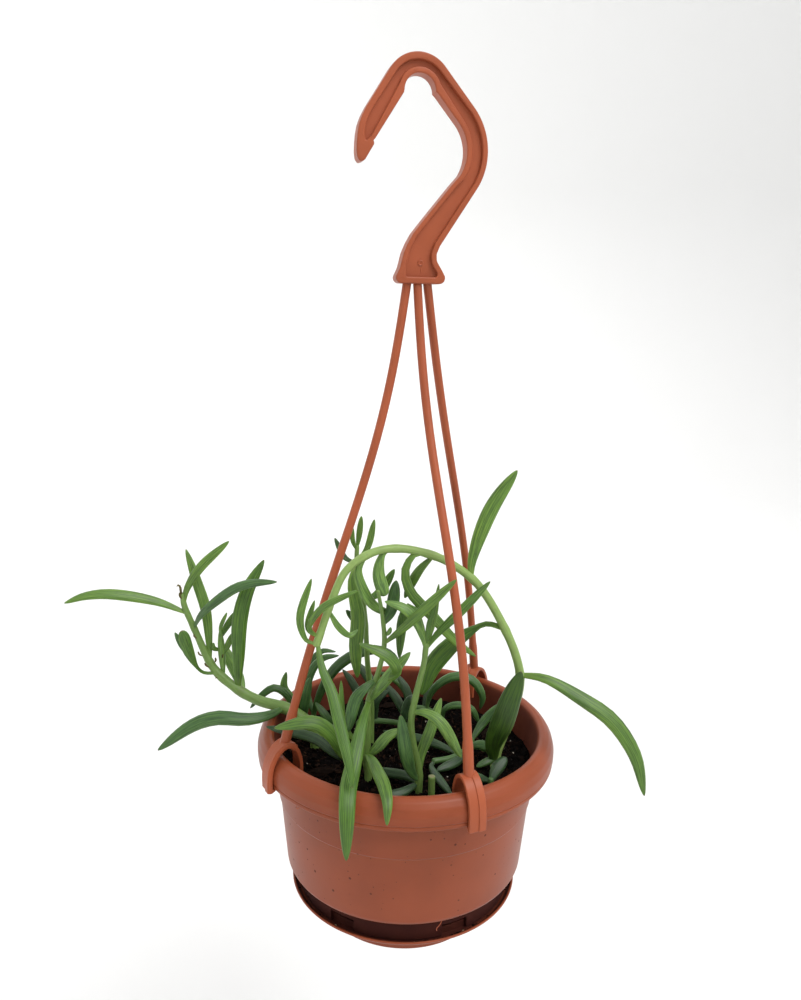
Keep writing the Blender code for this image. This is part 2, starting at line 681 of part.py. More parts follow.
def band(centre, thickness):
    """The outline of a strip of even thickness along its centre line."""
    sides = [], []
    for i, point in enumerate(centre):
        ahead = (centre[min(i + 1, len(centre) - 1)] - centre[max(i - 1, 0)]).normalized()
        away = Vector((ahead.y, -ahead.x)) * thickness / 2
        sides[0].append(tuple(point + away))
        sides[1].append(tuple(point - away))
    return sides[0] + sides[1][::-1]


def rod_route(top, foot, sway):
    """A rod leaves the hook almost straight down, leans out, and comes down upright to its clip."""
    route = []
    for i in range(ROD_POINTS):
        s = i / (ROD_POINTS - 1)
        lean = s - sway[0] * math.sin(2 * math.pi * s) - sway[1] * math.sin(math.pi * s)
        route.append(Vector((top.x + (foot.x - top.x) * lean, top.y + (foot.y - top.y) * lean,
                             top.z + (foot.z - top.z) * s)))
    return route


def make_rod(name, top, foot, sway, group):
    route = rod_route(top, foot, sway)
    sleeve_start = foot + (route[-2] - foot).normalized() * SLEEVE_LENGTH
    step = (sleeve_start - foot).normalized() * 1.0
    route = [p for p in route if (p - foot).length > SLEEVE_LENGTH + 3] + [sleeve_start + step, sleeve_start, foot]
    curve = bpy.data.curves.new(name, "CURVE")
    curve.dimensions = "3D"
    curve.bevel_depth = ROD_R * MM
    curve.bevel_resolution = 2
    curve.use_fill_caps = True
    spline = curve.splines.new("POLY")
    spline.points.add(len(route) - 1)
    for i, (point, at) in enumerate(zip(spline.points, route)):
        point.co = (*place(*at), 1)
        point.radius = SLEEVE_R / ROD_R if i >= len(route) - 2 else 1
    obj = bpy.data.objects.new(name, curve)
    group.objects.link(obj)
    return curve_to_mesh(obj, group)


def clip_centre():
    """The strap of a rim clip, from its toe under the collar, up over the rim and down inside the pot."""
    route = [(76.1, -14.6), (76.1, -8), (75.0, -1.6), (71.5, 4.4), (67.0, 7.0), (62.8, 4.8), (60.6, -1), (60.2, -8)]
    return smooth_route(route, 2)


def make_clip(name, angle, group):
    """A strap bent over the rim, a rib along half of it, and a toe that hooks under the collar."""
    centre = clip_centre()
    out = Vector((math.cos(angle), math.sin(angle), 0))
    side = Vector((-math.sin(angle), math.cos(angle), 0))
    foot = place(0, 0, 0)
    strap = plate(name + "_strap", band(centre, CLIP_THICK), CLIP_WIDTH, group)
    stand_up(strap, foot, angle)
    rib = plate(name + "_rib", band(centre[:-4], CLIP_THICK + 2 * RIB_HEIGHT), CLIP_WIDTH / 2 - 0.6, group)
    stand_up(rib, foot + side * (CLIP_WIDTH / 4) * MM, angle)
    toe_top = LIP_Z - FIT
    toe = [(76.4, toe_top), (73.0, toe_top), (73.2, toe_top - 0.9), (75.0, toe_top - 1.9), (76.4, toe_top - 1.9)]
    toe = plate(name + "_toe", toe, CLIP_WIDTH - 1.2, group)
    stand_up(toe, foot, angle)
    return out * CLIP_TOP[0] + Vector((0, 0, CLIP_TOP[1]))


def make_hanger(group, finish):
    """The hook, its three rods and their three rim clips, moulded as one piece."""
    pieces = collection("hanger pieces")
    hook = plate("hanger", hook_outline(), HOOK_THICK, group)
    hook.name = "hanger"
    stand_up(hook, (0, 0, 0), HOOK_YAW)
    recesses = collection("hook recesses", helpers=True)
    square = Vector((math.sin(HOOK_YAW), -math.cos(HOOK_YAW), 0))
    for sign in (1, -1):
        sunk = plate(f"recess_{'front' if sign > 0 else 'back'}", recess_outline(), HOOK_THICK, recesses)
        stand_up(sunk, square * sign * (WEB_THICK + HOOK_THICK) / 2 * MM, HOOK_YAW)
        cutter(sunk)
    cut(hook, recesses, "recesses")
    apply_modifiers(hook)
    level = Vector((math.cos(HOOK_YAW), math.sin(HOOK_YAW), 0))
    for i, (side, angle) in enumerate(CLIP_ANGLES.items()):
        foot = make_clip("clip_" + side, math.radians(angle), pieces)
        top = level * (ROD_SHIFT + (i - 1) * ROD_SPACING) + Vector((0, 0, ROD_TOP_Z + RIM_DROP))
        make_rod("rod_" + side, top, foot, ROD_SWAY[side], pieces)
    fuse(hook, pieces)
    hook.data.materials.clear()
    hook.data.materials.append(finish)
    smooth(hook)
    return hook


def apply_modifiers(obj):
    bpy.context.view_layer.update()
    mesh = bpy.data.meshes.new_from_object(obj.evaluated_get(bpy.context.evaluated_depsgraph_get()))
    obj.modifiers.clear()
    obj.data = mesh


def leaf_fullness(s, stalk):
    """Share of a leaf's full width at a share of its length: a narrow foot, a full middle, a blunt point."""
    t = max(0, (s - stalk) / (1 - stalk))
    rise = math.sin(math.pi / 2 * min(1, 2 * t))
    return (LEAF_FOOT + (1 - LEAF_FOOT) * rise) * math.sqrt(1 - max(0, (t - 0.5) / 0.52) ** 2.6)


def nearest(route, point):
    """The point of a route that lies nearest to another point."""
    shares = [i / 200 for i in range(201)]
    return min((along(route, s) for s in shares), key=lambda at: (at - point).length)


def make_leaf(name, stem_route, points, width, flatness, stalk, group):
    """A leaf starts on its stem's centre line, or out on a side shoot where its first point says so."""
    start = nearest(stem_route, Vector(points[0]))
    if (start - Vector(points[0])).length > STEM_REACH:
        start = Vector(points[0])
    route = smooth_route([start, *points[1:]], LEAF_FINENESS)
    length = sum((b - a).length for a, b in zip(route, route[1:]))
    stations = LONG_STATIONS if length > LONG_LEAF else SHORT_STATIONS
    centres = [along(route, s) for s in stations]
    halves = []
    for s in stations:
        half = width / 2 * leaf_fullness(s, stalk)
        halves.append((half, half * flatness))
    return loft(name, centres, halves, group, Vector(LEAF_FACING), LEAF_SIDES, pointed=True)


def make_stem(name, stem, group):
    """A stem with all its leaves, as one solid."""
    route = smooth_route(stem["route"], STEM_STATIONS)
    first, last = stem["radii"]
    radii = [first, *(first + (last - first) * i / (len(route) - 1) for i in range(len(route)))]
    centres = [Vector((*stem["route"][0][:2], ROOT_Z)), *route]
    obj = loft(name, centres, [(r, r) for r in radii], group, Vector(STEM_FACING), STEM_SIDES, pointed=False)
    leaves = collection(name + " leaves")
    for i, (passes, width, *shape) in enumerate(stem["leaves"]):
        flatness, stalk = [*shape, *(FLATNESS, 0)[len(shape):]]
        make_leaf(f"{name}_leaf_{i}", route, passes, width, flatness, stalk, leaves)
    if stem["leaves"]:
        fuse(obj, leaves)
    obj.data.materials.clear()
    obj.data.materials.append(material(name, stem["colour"], 0.45))
    smooth(obj, 60)
    return obj


def main():
    clear_scene()
    group = collection(NAME)
    plastic = material("terracotta plastic", TERRACOTTA, 0.42)
    make_pot(group, collection("pot cutters", helpers=True), plastic)
    make_saucer(group, plastic)
    make_hanger(group, plastic)
    make_soil(group, collection("soil cutters", helpers=True), material("potting mix", (0.02, 0.014, 0.01), 0.95))
    for name, stem in STEMS.items():
        make_stem(name, stem, group)


main()
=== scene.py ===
"""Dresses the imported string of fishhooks: moulded plastic, potting mix, stems and striped leaves.

Points are in millimetres from the middle of the pot's rim, with -Y towards the viewer and +Z up.
place() turns them into metres from the hook's seat, as the frame has them.
"""

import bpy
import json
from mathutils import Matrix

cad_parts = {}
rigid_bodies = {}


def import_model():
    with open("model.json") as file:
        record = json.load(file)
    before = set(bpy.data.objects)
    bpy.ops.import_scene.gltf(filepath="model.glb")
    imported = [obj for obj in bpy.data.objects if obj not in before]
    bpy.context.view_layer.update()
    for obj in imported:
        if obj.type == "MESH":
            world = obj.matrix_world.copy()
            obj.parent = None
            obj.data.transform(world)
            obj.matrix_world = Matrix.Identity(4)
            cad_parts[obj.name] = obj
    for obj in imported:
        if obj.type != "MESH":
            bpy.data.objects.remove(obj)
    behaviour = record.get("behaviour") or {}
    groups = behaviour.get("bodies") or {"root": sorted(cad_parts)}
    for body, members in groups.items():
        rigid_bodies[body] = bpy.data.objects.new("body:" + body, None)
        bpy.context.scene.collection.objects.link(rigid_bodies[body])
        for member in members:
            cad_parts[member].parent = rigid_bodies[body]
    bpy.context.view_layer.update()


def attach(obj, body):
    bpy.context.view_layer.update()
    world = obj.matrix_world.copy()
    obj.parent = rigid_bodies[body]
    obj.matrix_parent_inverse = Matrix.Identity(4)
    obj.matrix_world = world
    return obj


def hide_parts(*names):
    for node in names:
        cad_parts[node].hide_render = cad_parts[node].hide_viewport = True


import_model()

import json
import math
import random

import bmesh
import bpy
from bpy.props import FloatProperty, FloatVectorProperty, IntProperty, PointerProperty
from mathutils import Matrix, Vector, noise

bl_info = {
    "name": "Hanging string of fishhooks",
    "version": (1, 0, 0),
    "blender": (4, 5, 0),
    "location": "3D View > Sidebar > Fishhooks",
    "description": "Builds the finished look of a string of fishhooks in its hanging pot",
    "category": "Object",
}

MM = 0.001
RIM_DROP = 304.5
BODY = "root"

# Pot and saucer, radii and heights
WALL = 1.6
COLLAR_R = 74.6
LIP_Z = -12.9
STEP_Z = -33.5
FLOOR_Z = -67.6
BASE_Z = -70.3
BASE_R = 59.4
FOOT_R = 54.0
FOOT_Z = -83.3
DISH_Z = -92.3
DISH_WALL = 1.4
DISH_LIP_R = 58.0
DISH_LIP_Z = -81.6
STAND_R = 43.0
STAND_Z = -97.2
FIT = 0.3
TURN_STEPS = 144
DRAIN_HOLES = 6
DRAIN_R = 4.0
DRAIN_RING_R = 35.0
SLOTS = 6
SLOT_WIDTH = 13.6
SLOT_TOP_Z = -77.0
FIRST_SLOT = math.radians(-63)
HOLE_SIDES = 32

# How round a softened corner is, what counts as straight, and what counts as a sharp edge
CORNER_POINTS = 5
STRAIGHT = math.radians(4)
SHARP_ANGLE = math.radians(38)

# Dirt and painted shade: the radius in metres at which the sheet of specks is unrolled, the taper of the
# pot's inner wall and of the saucer's gutter, and where the gutter's line meets the axis
SPECK_SHEET_R = 0.062
WALL_TAPER = 0.12
GUTTER_TAPER = 0.62
GUTTER_LINE = FOOT_Z - 33.9

# Flash that the mould left: a strand under the pot's base and a tick on the collar's lower edge.
# Each has its angle in degrees and its route: radius, turn away from the angle, and height.
FLASH = [
    (-74, [(58.9, 0.03, -70.0), (59.2, 0.014, -71.8), (58.8, -0.012, -74.2), (58.4, -0.006, -76.0)]),
    (-130.7, [(74.0, -0.014, -12.6), (74.6, -0.006, -13.4), (74.6, 0.006, -13.4), (74.0, 0.014, -12.6)]),
]

# Hook, rods and clips
HOOK_YAW = math.radians(15)
HOOK_THICK = 7.0
WEB_THICK = 3.0
BORDER = 2.5
SEAT_R = 7.0
CROWN_R = 15.4
BEND_MIDDLE = (3.9, -30.6)
BEND_R = 28.0
BAND = 9.8
ROD_R = 2.0
SLEEVE_R = 2.4
SLEEVE_LENGTH = 16.0
SLEEVE_FADE = 3.0
ROD_TOP_Z = -86.0
ROD_SPACING = 4.6
ROD_SHIFT = 1.2
ROD_POINTS = 64
CLIP_ANGLES = {"left": 212, "front": -66, "back": 54.5}
ROD_SWAY = {"left": (0.04, 0.07), "front": (0.08, -0.02), "back": (0.04, -0.05)}
CLIP_WIDTH = 8.2
CLIP_THICK = 1.8
CLIP_TOP = (67.0, 6.6)
RIB_HEIGHT = 0.5

# Soil, and the sides and rows of its lumpy top
SOIL_Z = -16.4
SOIL_R = 63.5
SOIL_FOOT_R = 56.4
SOIL_SIDES = 216
SOIL_ROWS = 84

# Crumbs in the saucer's gutter: how many, between which radii, how steep the gutter is there, where half of
# them gather in degrees, and the numbers of the pale ones
GUTTER_CRUMBS = 90
GUTTER_REACH = (54.6, 56.4)
GUTTER_SLOPE = 0.7
GUTTER_HEAP = (-85, -48)
PALE_CRUMBS = (7, 21, 33, 58, 77)

# Plant
ROOT_Z = -21.0
COLLAR_Z = -13.0
LEAF_FOOT = 0.3
FLATNESS = 0.5
LEAF_FACING = Vector((0.1, -0.75, 0.65))
STEM_FACING = Vector((0.31, -0.9, 0.3))
STEM_REACH = 4.0
SCARRED = ("trailing_stem", "cut_stem")
STEM_COLOURS = {"leaf_light": "bright", "leaf_mid": "stalk", "leaf_dark": "dusk"}

# How a succulent's skin shines and lets light in
SKIN_LIGHT = {"Specular IOR Level": 0.38, "Subsurface Weight": 0.12, "Subsurface Scale": 0.0015,
              "Subsurface Radius": (0.6, 1.0, 0.3)}

# Colours of dirt, wear and dry skin. The stain is partly painted shade: it darkens the pot's inside, its
# underside and the saucer's gutter.
STAIN_AND_SHADE = (0.03, 0.0035, 0.002, 1)
SPECK = (0.045, 0.014, 0.008, 1)
DRY_POINT = (0.12, 0.06, 0.03, 1)
CORK = (0.05, 0.04, 0.015, 1)
SCAR = (0.07, 0.04, 0.02, 1)
CUT_FACE = (0.24, 0.23, 0.1, 1)

# Floor in metres; camera in metres and degrees; the ways that the lights come from
FLOOR_R = 2.2
FLOOR_SIDES = 128
SWEEP_STEPS = 16
WALL_TOP = 2.6
CAMERA_AT = (-0.0047, -0.398, -0.0995)
CAMERA_PITCH = 12.57
CAMERA_ROLL = 1.0
MAIN_LIGHT_WAY = (0.8, -0.65, 1.2)
BACK_LIGHT_WAY = (-0.7, 0.8, 0.9)

# Stems. Each has its material slot, its radius at the root and at the tip, its route from the root up, and
# its leaves: a colour, the points that the leaf passes from where it leaves the stem to its tip, its width,
# its thickness for its width where it isn't the usual one, the share of its length that is a narrow stalk,
# and how blunt its end is.
STEMS = {
    "trailing_stem": dict(
        slot="leaf_mid", radii=(3.6, 1.3),
        route=[(-46, 5, COLLAR_Z), (-47, 5, -8), (-52, 5, -2), (-60, 6, 3), (-67, 7, 5), (-76, 8, 7),
               (-87, 10, 12), (-100, 12, 23), (-109, 14, 42), (-114, 14, 55), (-115, 14, 62)],
        leaves=[
            ("young", [(-112, 13, 52), (-128, 11, 59), (-147, 6, 64), (-160, 3, 64), (-170, 0, 61)], 5.8),
            ("young", [(-101, 14, 26), (-104, 18, 50), (-109, 21, 66), (-115, 24, 83)], 5.6),
            ("young", [(-114, 14, 57), (-112, 13, 66), (-104, 12, 78), (-90, 12, 91)], 5.2),
            ("cool", [(-110, 13, 44), (-103, 7, 55), (-88, 3, 68), (-77, 0, 73), (-64, -3, 75)], 5.4),
            ("mid", [(-87, 10, 12), (-86, 8, 30), (-85, 8, 50), (-81, 10, 66), (-73, 14, 81)], 8.0),
            ("frost", [(-94, 12, 18), (-96, 15, 28), (-97, 17, 42)], 3.8, 1.0),
            ("mid", [(-97, 17, 37), (-94, 18, 43), (-88, 20, 52)], 3.8),
            ("frost", [(-97, 17, 38), (-97, 19, 43), (-94, 21, 50)], 2.2),
            ("young", [(-96, 15, 28), (-93, 15, 34), (-90, 16, 41)], 3.4),
            ("fresh", [(-97, 16, 31), (-100, 14, 33), (-100, 14, 36)], 2.6, 0.8),
            ("frost", [(-84, 10, 11), (-89, 20, 15), (-99, 27, 31)], 6.4),
            ("leaf", [(-97, 11, 21), (-105, 7, 23), (-109, 1, 35), (-111.5, -3, 49)], 6.0, 0.5, 0.36, 0.8),
            ("cool", [(-108, 3, 31), (-112, -1, 40), (-115, -3, 48)], 3.2),
            ("cool", [(-63, 6, 4), (-70, -7, 6), (-80, -11, 6), (-94, -12, 7), (-107, -12, 2),
              (-123, -14, -10)], 7.4),
        ],
    ),
    "arching_stem": dict(
        slot="leaf_light", radii=(2.2, 1.7),
        route=[(44, -19, COLLAR_Z), (45, -19, -4), (50, -20, 13), (54, -20, 31), (51, -20, 47), (42, -20, 66),
               (32, -20, 81), (20, -22, 91), (8, -25, 97), (-5, -28, 100), (-17, -32, 99), (-28, -36, 92),
               (-34, -39, 80), (-41, -42, 59)],
        leaves=[
            ("mid", [(-41, -42, 60), (-38, -48, 50), (-33, -54, 41), (-29, -61, 29), (-25, -68, 17),
              (-23, -73, 7)], 5.4),
            ("young", [(-41, -42, 59), (-46, -43, 62), (-48, -44, 73), (-43, -43, 90)], 3.6),
            ("fresh", [(-40, -42, 62), (-45, -42, 67), (-42, -40, 79)], 2.6),
            ("young", [(-40, -42, 62), (-44, -44, 68), (-37, -48, 79), (-22, -52, 88)], 3.6),
            ("frost", [(-36, -40, 75), (-32, -37, 66), (-27, -33, 60), (-23, -31, 62)], 3.4),
            ("frost", [(-20, -33, 98), (-23, -34, 91), (-21, -32, 82), (-16, -29, 73), (-7, -25, 67)], 5.2),
            ("frost", [(-6, -28, 101), (-12, -30, 98), (-14, -31, 89), (-11, -33, 79)], 6.2, 0.7, 0.2, 1.0),
            ("young", [(9, -25, 97), (2, -27, 97), (-2, -27, 89), (1, -25, 78), (12, -22, 65), (22, -19, 53),
              (33, -15, 43)], 5.6),
            ("young", [(11, -24, 96), (5, -23, 89), (1, -20, 81), (-2, -18, 73)], 4.6),
            ("young", [(29, -21, 84), (29, -20, 93), (33, -17, 106), (39, -14, 119), (49, -12, 134)], 7.2),
            ("mid", [(45, -20, 59), (37, -18, 61), (30, -15, 56), (21, -13, 48), (12, -12, 36),
              (7, -14, 22)], 9.2, 0.4, 0.22),
            ("fresh", [(54, -20, 36), (66, -24, 36), (82, -27, 28), (97, -30, 18), (108, -33, 2),
              (113, -36, -17)], 8.0),
            ("olive", [(44, -19, -11), (42, -26, 3), (45, -30, 16), (48, -31, 28), (53, -29, 42)], 11.0, 0.4),
            ("dark", [(45, -19, -9), (41, -23, -7), (34, -26, -9)], 3.6),
        ],
    ),
    "centre_left_stem": dict(
        slot="leaf_mid", radii=(1.9, 0.8),
        route=[(-18, -27, COLLAR_Z), (-19, -28, -4), (-18, -30, 11), (-18, -31, 26), (-14, -32, 40),
               (-11, -32, 55), (-12, -34, 70), (-14, -38, 83)],
        leaves=[
            ("mid", [(-18, -31, 27), (-20, -41, 22), (-22, -51, 15), (-24, -60, 7), (-25, -69, 4),
              (-25, -77, -4), (-25, -80, -23)], 7.6, 0.45),
            ("young", [(-11, -32, 56), (-2, -40, 67), (7, -45, 78), (20, -50, 93)], 4.8),
            ("cool", [(-15, -32, 38), (-19, -36, 36), (-24, -38, 30), (-27, -39, 15)], 5.8),
            ("frost", [(-18, -31, 26), (-12, -36, 37), (-5, -38, 47), (1, -37, 54)], 5.4),
            ("fresh", [(-15, -32, 38), (-8, -38, 42), (-5, -44, 49), (-10, -46, 56), (-22, -45, 61)], 5.4),
            ("young", [(-18, -29, 3), (-26, -32, 9), (-30, -32, 20), (-31, -29, 36)], 3.0),
            ("fresh", [(-19, -28, -2), (-16, -42, 3), (-13, -54, 4), (-10, -66, 5), (-8, -75, 2),
              (-8, -80, -6)], 6.2, 0.4),
            ("frost", [(-18, -28, -4), (-14, -30, 2), (-9, -28, 7), (-3, -26, 10)], 5.4),
            ("fresh", [(-19, -28, -5), (-29, -33, 0), (-34, -39, 13), (-43, -44, 22), (-60, -46, 20)], 7.2),
            ("deep", [(-19, -28, -6), (-32, -30, -2), (-43, -26, 4), (-56, -23, 6), (-68, -20, 7)], 5.2),
            ("frost", [(-12, -32, 60), (-9, -34, 62), (-8, -35, 65)], 2.2),
            ("dark", [(-12, -32, 66), (-8, -29, 71), (-6, -28, 85)], 5.8, 0.6),
        ],
    ),
    "centre_right_stem": dict(
        slot="leaf_mid", radii=(1.9, 1.2),
        route=[(6, -38, COLLAR_Z), (6, -38, -4), (3, -38, 10), (2, -38, 21), (4, -38, 34), (7, -38, 48),
              (8, -38, 58)],
        leaves=[
            ("leaf", [(8, -38, 57), (9, -38, 67), (12, -38, 79)], 2.6),
            ("young", [(8, -38, 57), (11, -37, 68), (13, -38, 87)], 2.6),
            ("mid", [(8, -38, 56), (13, -37, 63), (23, -33, 72), (37, -27, 85)], 4.4),
            ("frost", [(8, -38, 57), (4, -38, 68), (-2, -38, 75), (-11, -37, 78)], 5.0),
            ("leaf", [(8, -38, 56), (5, -33, 66), (0, -28, 72), (-3, -26, 63), (-4, -26, 46)], 5.2),
            ("frost", [(3, -38, 25), (9, -43, 27), (16, -46, 23), (25, -46, 7)], 5.6, 0.7),
            ("cool", [(6, -38, -9), (3, -43, -3), (0, -46, 8), (-3, -45, 27)], 6.4),
            ("frost", [(6, -38, -9), (7, -35, 2), (11, -33, 13), (16, -29, 28)], 5.4, 0.6),
            ("deep", [(4, -38, 32), (1, -33, 28), (-2, -30, 15)], 5.0),
            ("deep", [(6, -38, -11), (0, -31, -11.5), (-7, -28, -12), (-16, -25, -12)], 5.0, 0.7),
            ("deep", [(6, -38, -11), (-2, -45, -12), (-12, -48, -12)], 4.6, 0.7),
        ],
    ),
    "back_left_stem": dict(
        slot="leaf_mid", radii=(1.7, 1.0),
        route=[(-18, 8, COLLAR_Z), (-18, 7, 8), (-20, 2, 33), (-21, -2, 56), (-23, -6, 75), (-25, -8, 87),
               (-25, -8, 95)],
        leaves=[
            ("young", [(-25, -8, 94), (-24, -8, 101), (-23, -8, 110)], 3.0),
            ("young", [(-25, -8, 93), (-27, -10, 99), (-27, -10, 105)], 2.4),
            ("young", [(-25, -8, 88), (-20, -5, 94), (-17, -2, 107)], 3.4),
            ("dark", [(-25, -8, 87), (-31, -6, 89), (-36, -4, 98)], 3.0),
            ("young", [(-25, -8, 86), (-27, -12, 78), (-24, -14, 62), (-25, -15, 46), (-24, -15, 31)], 7.2),
            ("cool", [(-21, -3, 52), (-25, -7, 57), (-30, -11, 64)], 4.0),
            ("mid", [(-22, -4, 66), (-14, 0, 70), (-7, 2, 81)], 4.6),
        ],
    ),
    "creeper_back_left": dict(
        slot="leaf_dark", radii=(1.7, 1.5),
        route=[(-35, 13, COLLAR_Z), (-37, 14, -11), (-44, 17, -11), (-51, 19, -10.5), (-57, 18, -9)],
        leaves=[
            ("dark", [(-50, 19, -10), (-47, 18, 2), (-42, 16, 15), (-35, 14, 25), (-26, 12, 32),
              (-16, 11, 35), (-8, 12, 32), (-3, 14, 25)], 5.8, 0.8),
            ("cool", [(-53, 19, -10), (-54, 24, 2), (-51, 26, 15), (-45, 26, 23), (-36, 26, 25)], 4.6, 0.7),
            ("cool", [(-47, 18, -10), (-54, 28, 5), (-52, 31, 17), (-46, 31, 25), (-38, 31, 25)], 4.2, 0.7),
            ("cool", [(-56, 18, -9), (-54, 14, -2), (-53, 13, 7), (-50, 13, 18)], 6.2),
            ("leaf", [(-57, 18, -9), (-60, 20, 1), (-65, 22, 8), (-64, 24, 16)], 4.4),
            ("dark", [(-57, 18, -9), (-62, 18, 4), (-69, 17, 10), (-76, 16, 6), (-82, 15, -1)], 4.2, 0.8),
            ("dark", [(-38, 14, -11), (-39, 7, -5), (-42, 6, 1), (-47, 9, 6)], 4.4),
        ],
    ),
    "creeper_middle": dict(
        slot="leaf_dark", radii=(1.6, 1.4),
        route=[(-25, 21, COLLAR_Z), (-24, 22, -11), (-16, 23, -11), (-7, 22, -11), (2, 19, -11)],
        leaves=[
            ("deep", [(-24, 22, -11), (-25, 21, 3), (-29, 22, 12), (-34, 24, 18)], 4.6),
            ("deep", [(-16, 23, -11), (-17, 26, 5), (-23, 29, 15), (-31, 30, 21)], 5.4),
            ("deep", [(1, 19, -11), (-3, 22, -1), (-7, 25, 4), (-13, 29, 9)], 4.8),
            ("deep", [(-16, 23, -10), (-17, 21, -3), (-15, 21, 3), (-9, 23, 7)], 4.6),
            ("deep", [(2, 19, -11), (2, 17, 1), (0, 18, 10), (-5, 21, 17)], 4.8),
        ],
    ),
    "creeper_back": dict(
        slot="leaf_dark", radii=(1.7, 1.5),
        route=[(4, 40, COLLAR_Z), (6, 39, -11), (12, 37, -11), (18, 31, -11), (20, 25, -11)],
        leaves=[
            ("cool", [(12, 37, -11), (13, 36, -3), (17, 34, 5), (26, 33, 11), (36, 33, 9), (42, 33, 0),
              (41, 34, -9)], 5.2, 0.9),
            ("cool", [(20, 25, -11), (21, 24, -4), (27, 23, -1), (35, 23, -3), (40, 24, -12)], 4.2, 0.9),
            ("dark", [(5, 39, -11), (-3, 45, 1), (-15, 48, 6)], 4.8, 0.7),
            ("deep", [(10, 38, -11), (13, 46, 0), (11, 50, 10)], 4.6),
        ],
    ),
    "creeper_right": dict(
        slot="leaf_dark", radii=(1.7, 1.4),
        route=[(34, 6, COLLAR_Z), (34, 4, -11.5), (32, -3, -11.5), (28, -9, -11.5), (22, -14, -11.5),
              (14, -17, -11.5)],
        leaves=[
            ("cool", [(32, -3, -11.5), (38, -4, -9.5), (45, -8, -10.5)], 5.4, 0.8),
            ("deep", [(27, -10, -11.5), (17, 0, -12), (7, 6, -12), (-3, 9, -12), (-12, 14, -12)], 5.2, 0.7),
            ("deep", [(28, -9, -11.5), (26, -17, -11), (15, -25, -12)], 4.8, 0.7),
            ("deep", [(14, -17, -11.5), (13, -25, -11.5), (21, -46, -12)], 4.2, 0.7),
            ("dark", [(34, 4, -11), (41, 11, -4), (50, 14, 5)], 4.8, 0.7),
        ],
    ),
    "rim_shoot": dict(
        slot="leaf_dark", radii=(1.6, 1.2),
        route=[(40, -37, COLLAR_Z), (40, -37, -9)],
        leaves=[
            ("deep", [(40, -37, -10), (43, -33, -6), (48, -29, -2)], 6.0),
            ("deep", [(40, -37, -10), (32, -32, -11), (23, -33, -12)], 5.0, 0.7),
        ],
    ),
    "cut_stem": dict(
        slot="leaf_mid", radii=(1.6, 1.6),
        route=[(12, -42, COLLAR_Z), (12, -42, -5)],
        leaves=[],
    ),
}


def place(x, y, z):
    """A point in millimetres from the middle of the rim, in metres from the hook's seat."""
    return Vector((x, y, z - RIM_DROP)) * MM


def polar(r, a, *z):
    """A point at a radius and an angle round the axis, with a height where one is given."""
    return (r * math.cos(a), r * math.sin(a), *z)


def turns(count, r=1.0):
    """Angles that go once round in even steps, or a single one where the radius is nothing."""
    return [math.tau * k / count for k in range(count if r else 1)]


def even_shares(count):
    """Shares from 0 to 1 in even steps."""
    return [i / (count - 1) for i in range(count)]


def times(colour, factor):
    """A colour made lighter or darker, in plain numbers."""
    return tuple(factor * c for c in colour)


class Wire:
    """A node's output that takes part in sums and products like a number."""

    def __init__(self, finish, socket):
        self.finish = finish
        self.socket = socket

    def maths(self, operation, *values):
        return self.finish.node("ShaderNodeMath", {"operation": operation}, values)

    def __add__(self, other):
        return self.maths("ADD", self, other)

    def __sub__(self, other):
        return self.maths("SUBTRACT", self, other)

    def __rsub__(self, other):
        return self.maths("SUBTRACT", other, self)

    def __mul__(self, other):
        return self.maths("MULTIPLY", self, other)

    def __pow__(self, other):
        return self.maths("POWER", self, other)

    __radd__ = __add__
    __rmul__ = __mul__

    def size(self):
        return self.maths("ABSOLUTE", self)

    def sine(self):
        return self.maths("SINE", self)

    def between(self, low, high):
        """Rises smoothly from 0 at low to 1 at high."""
        values = {"Value": self, "From Min": low, "From Max": high}
        return self.finish.node("ShaderNodeMapRange", {"interpolation_type": "SMOOTHSTEP"}, values)


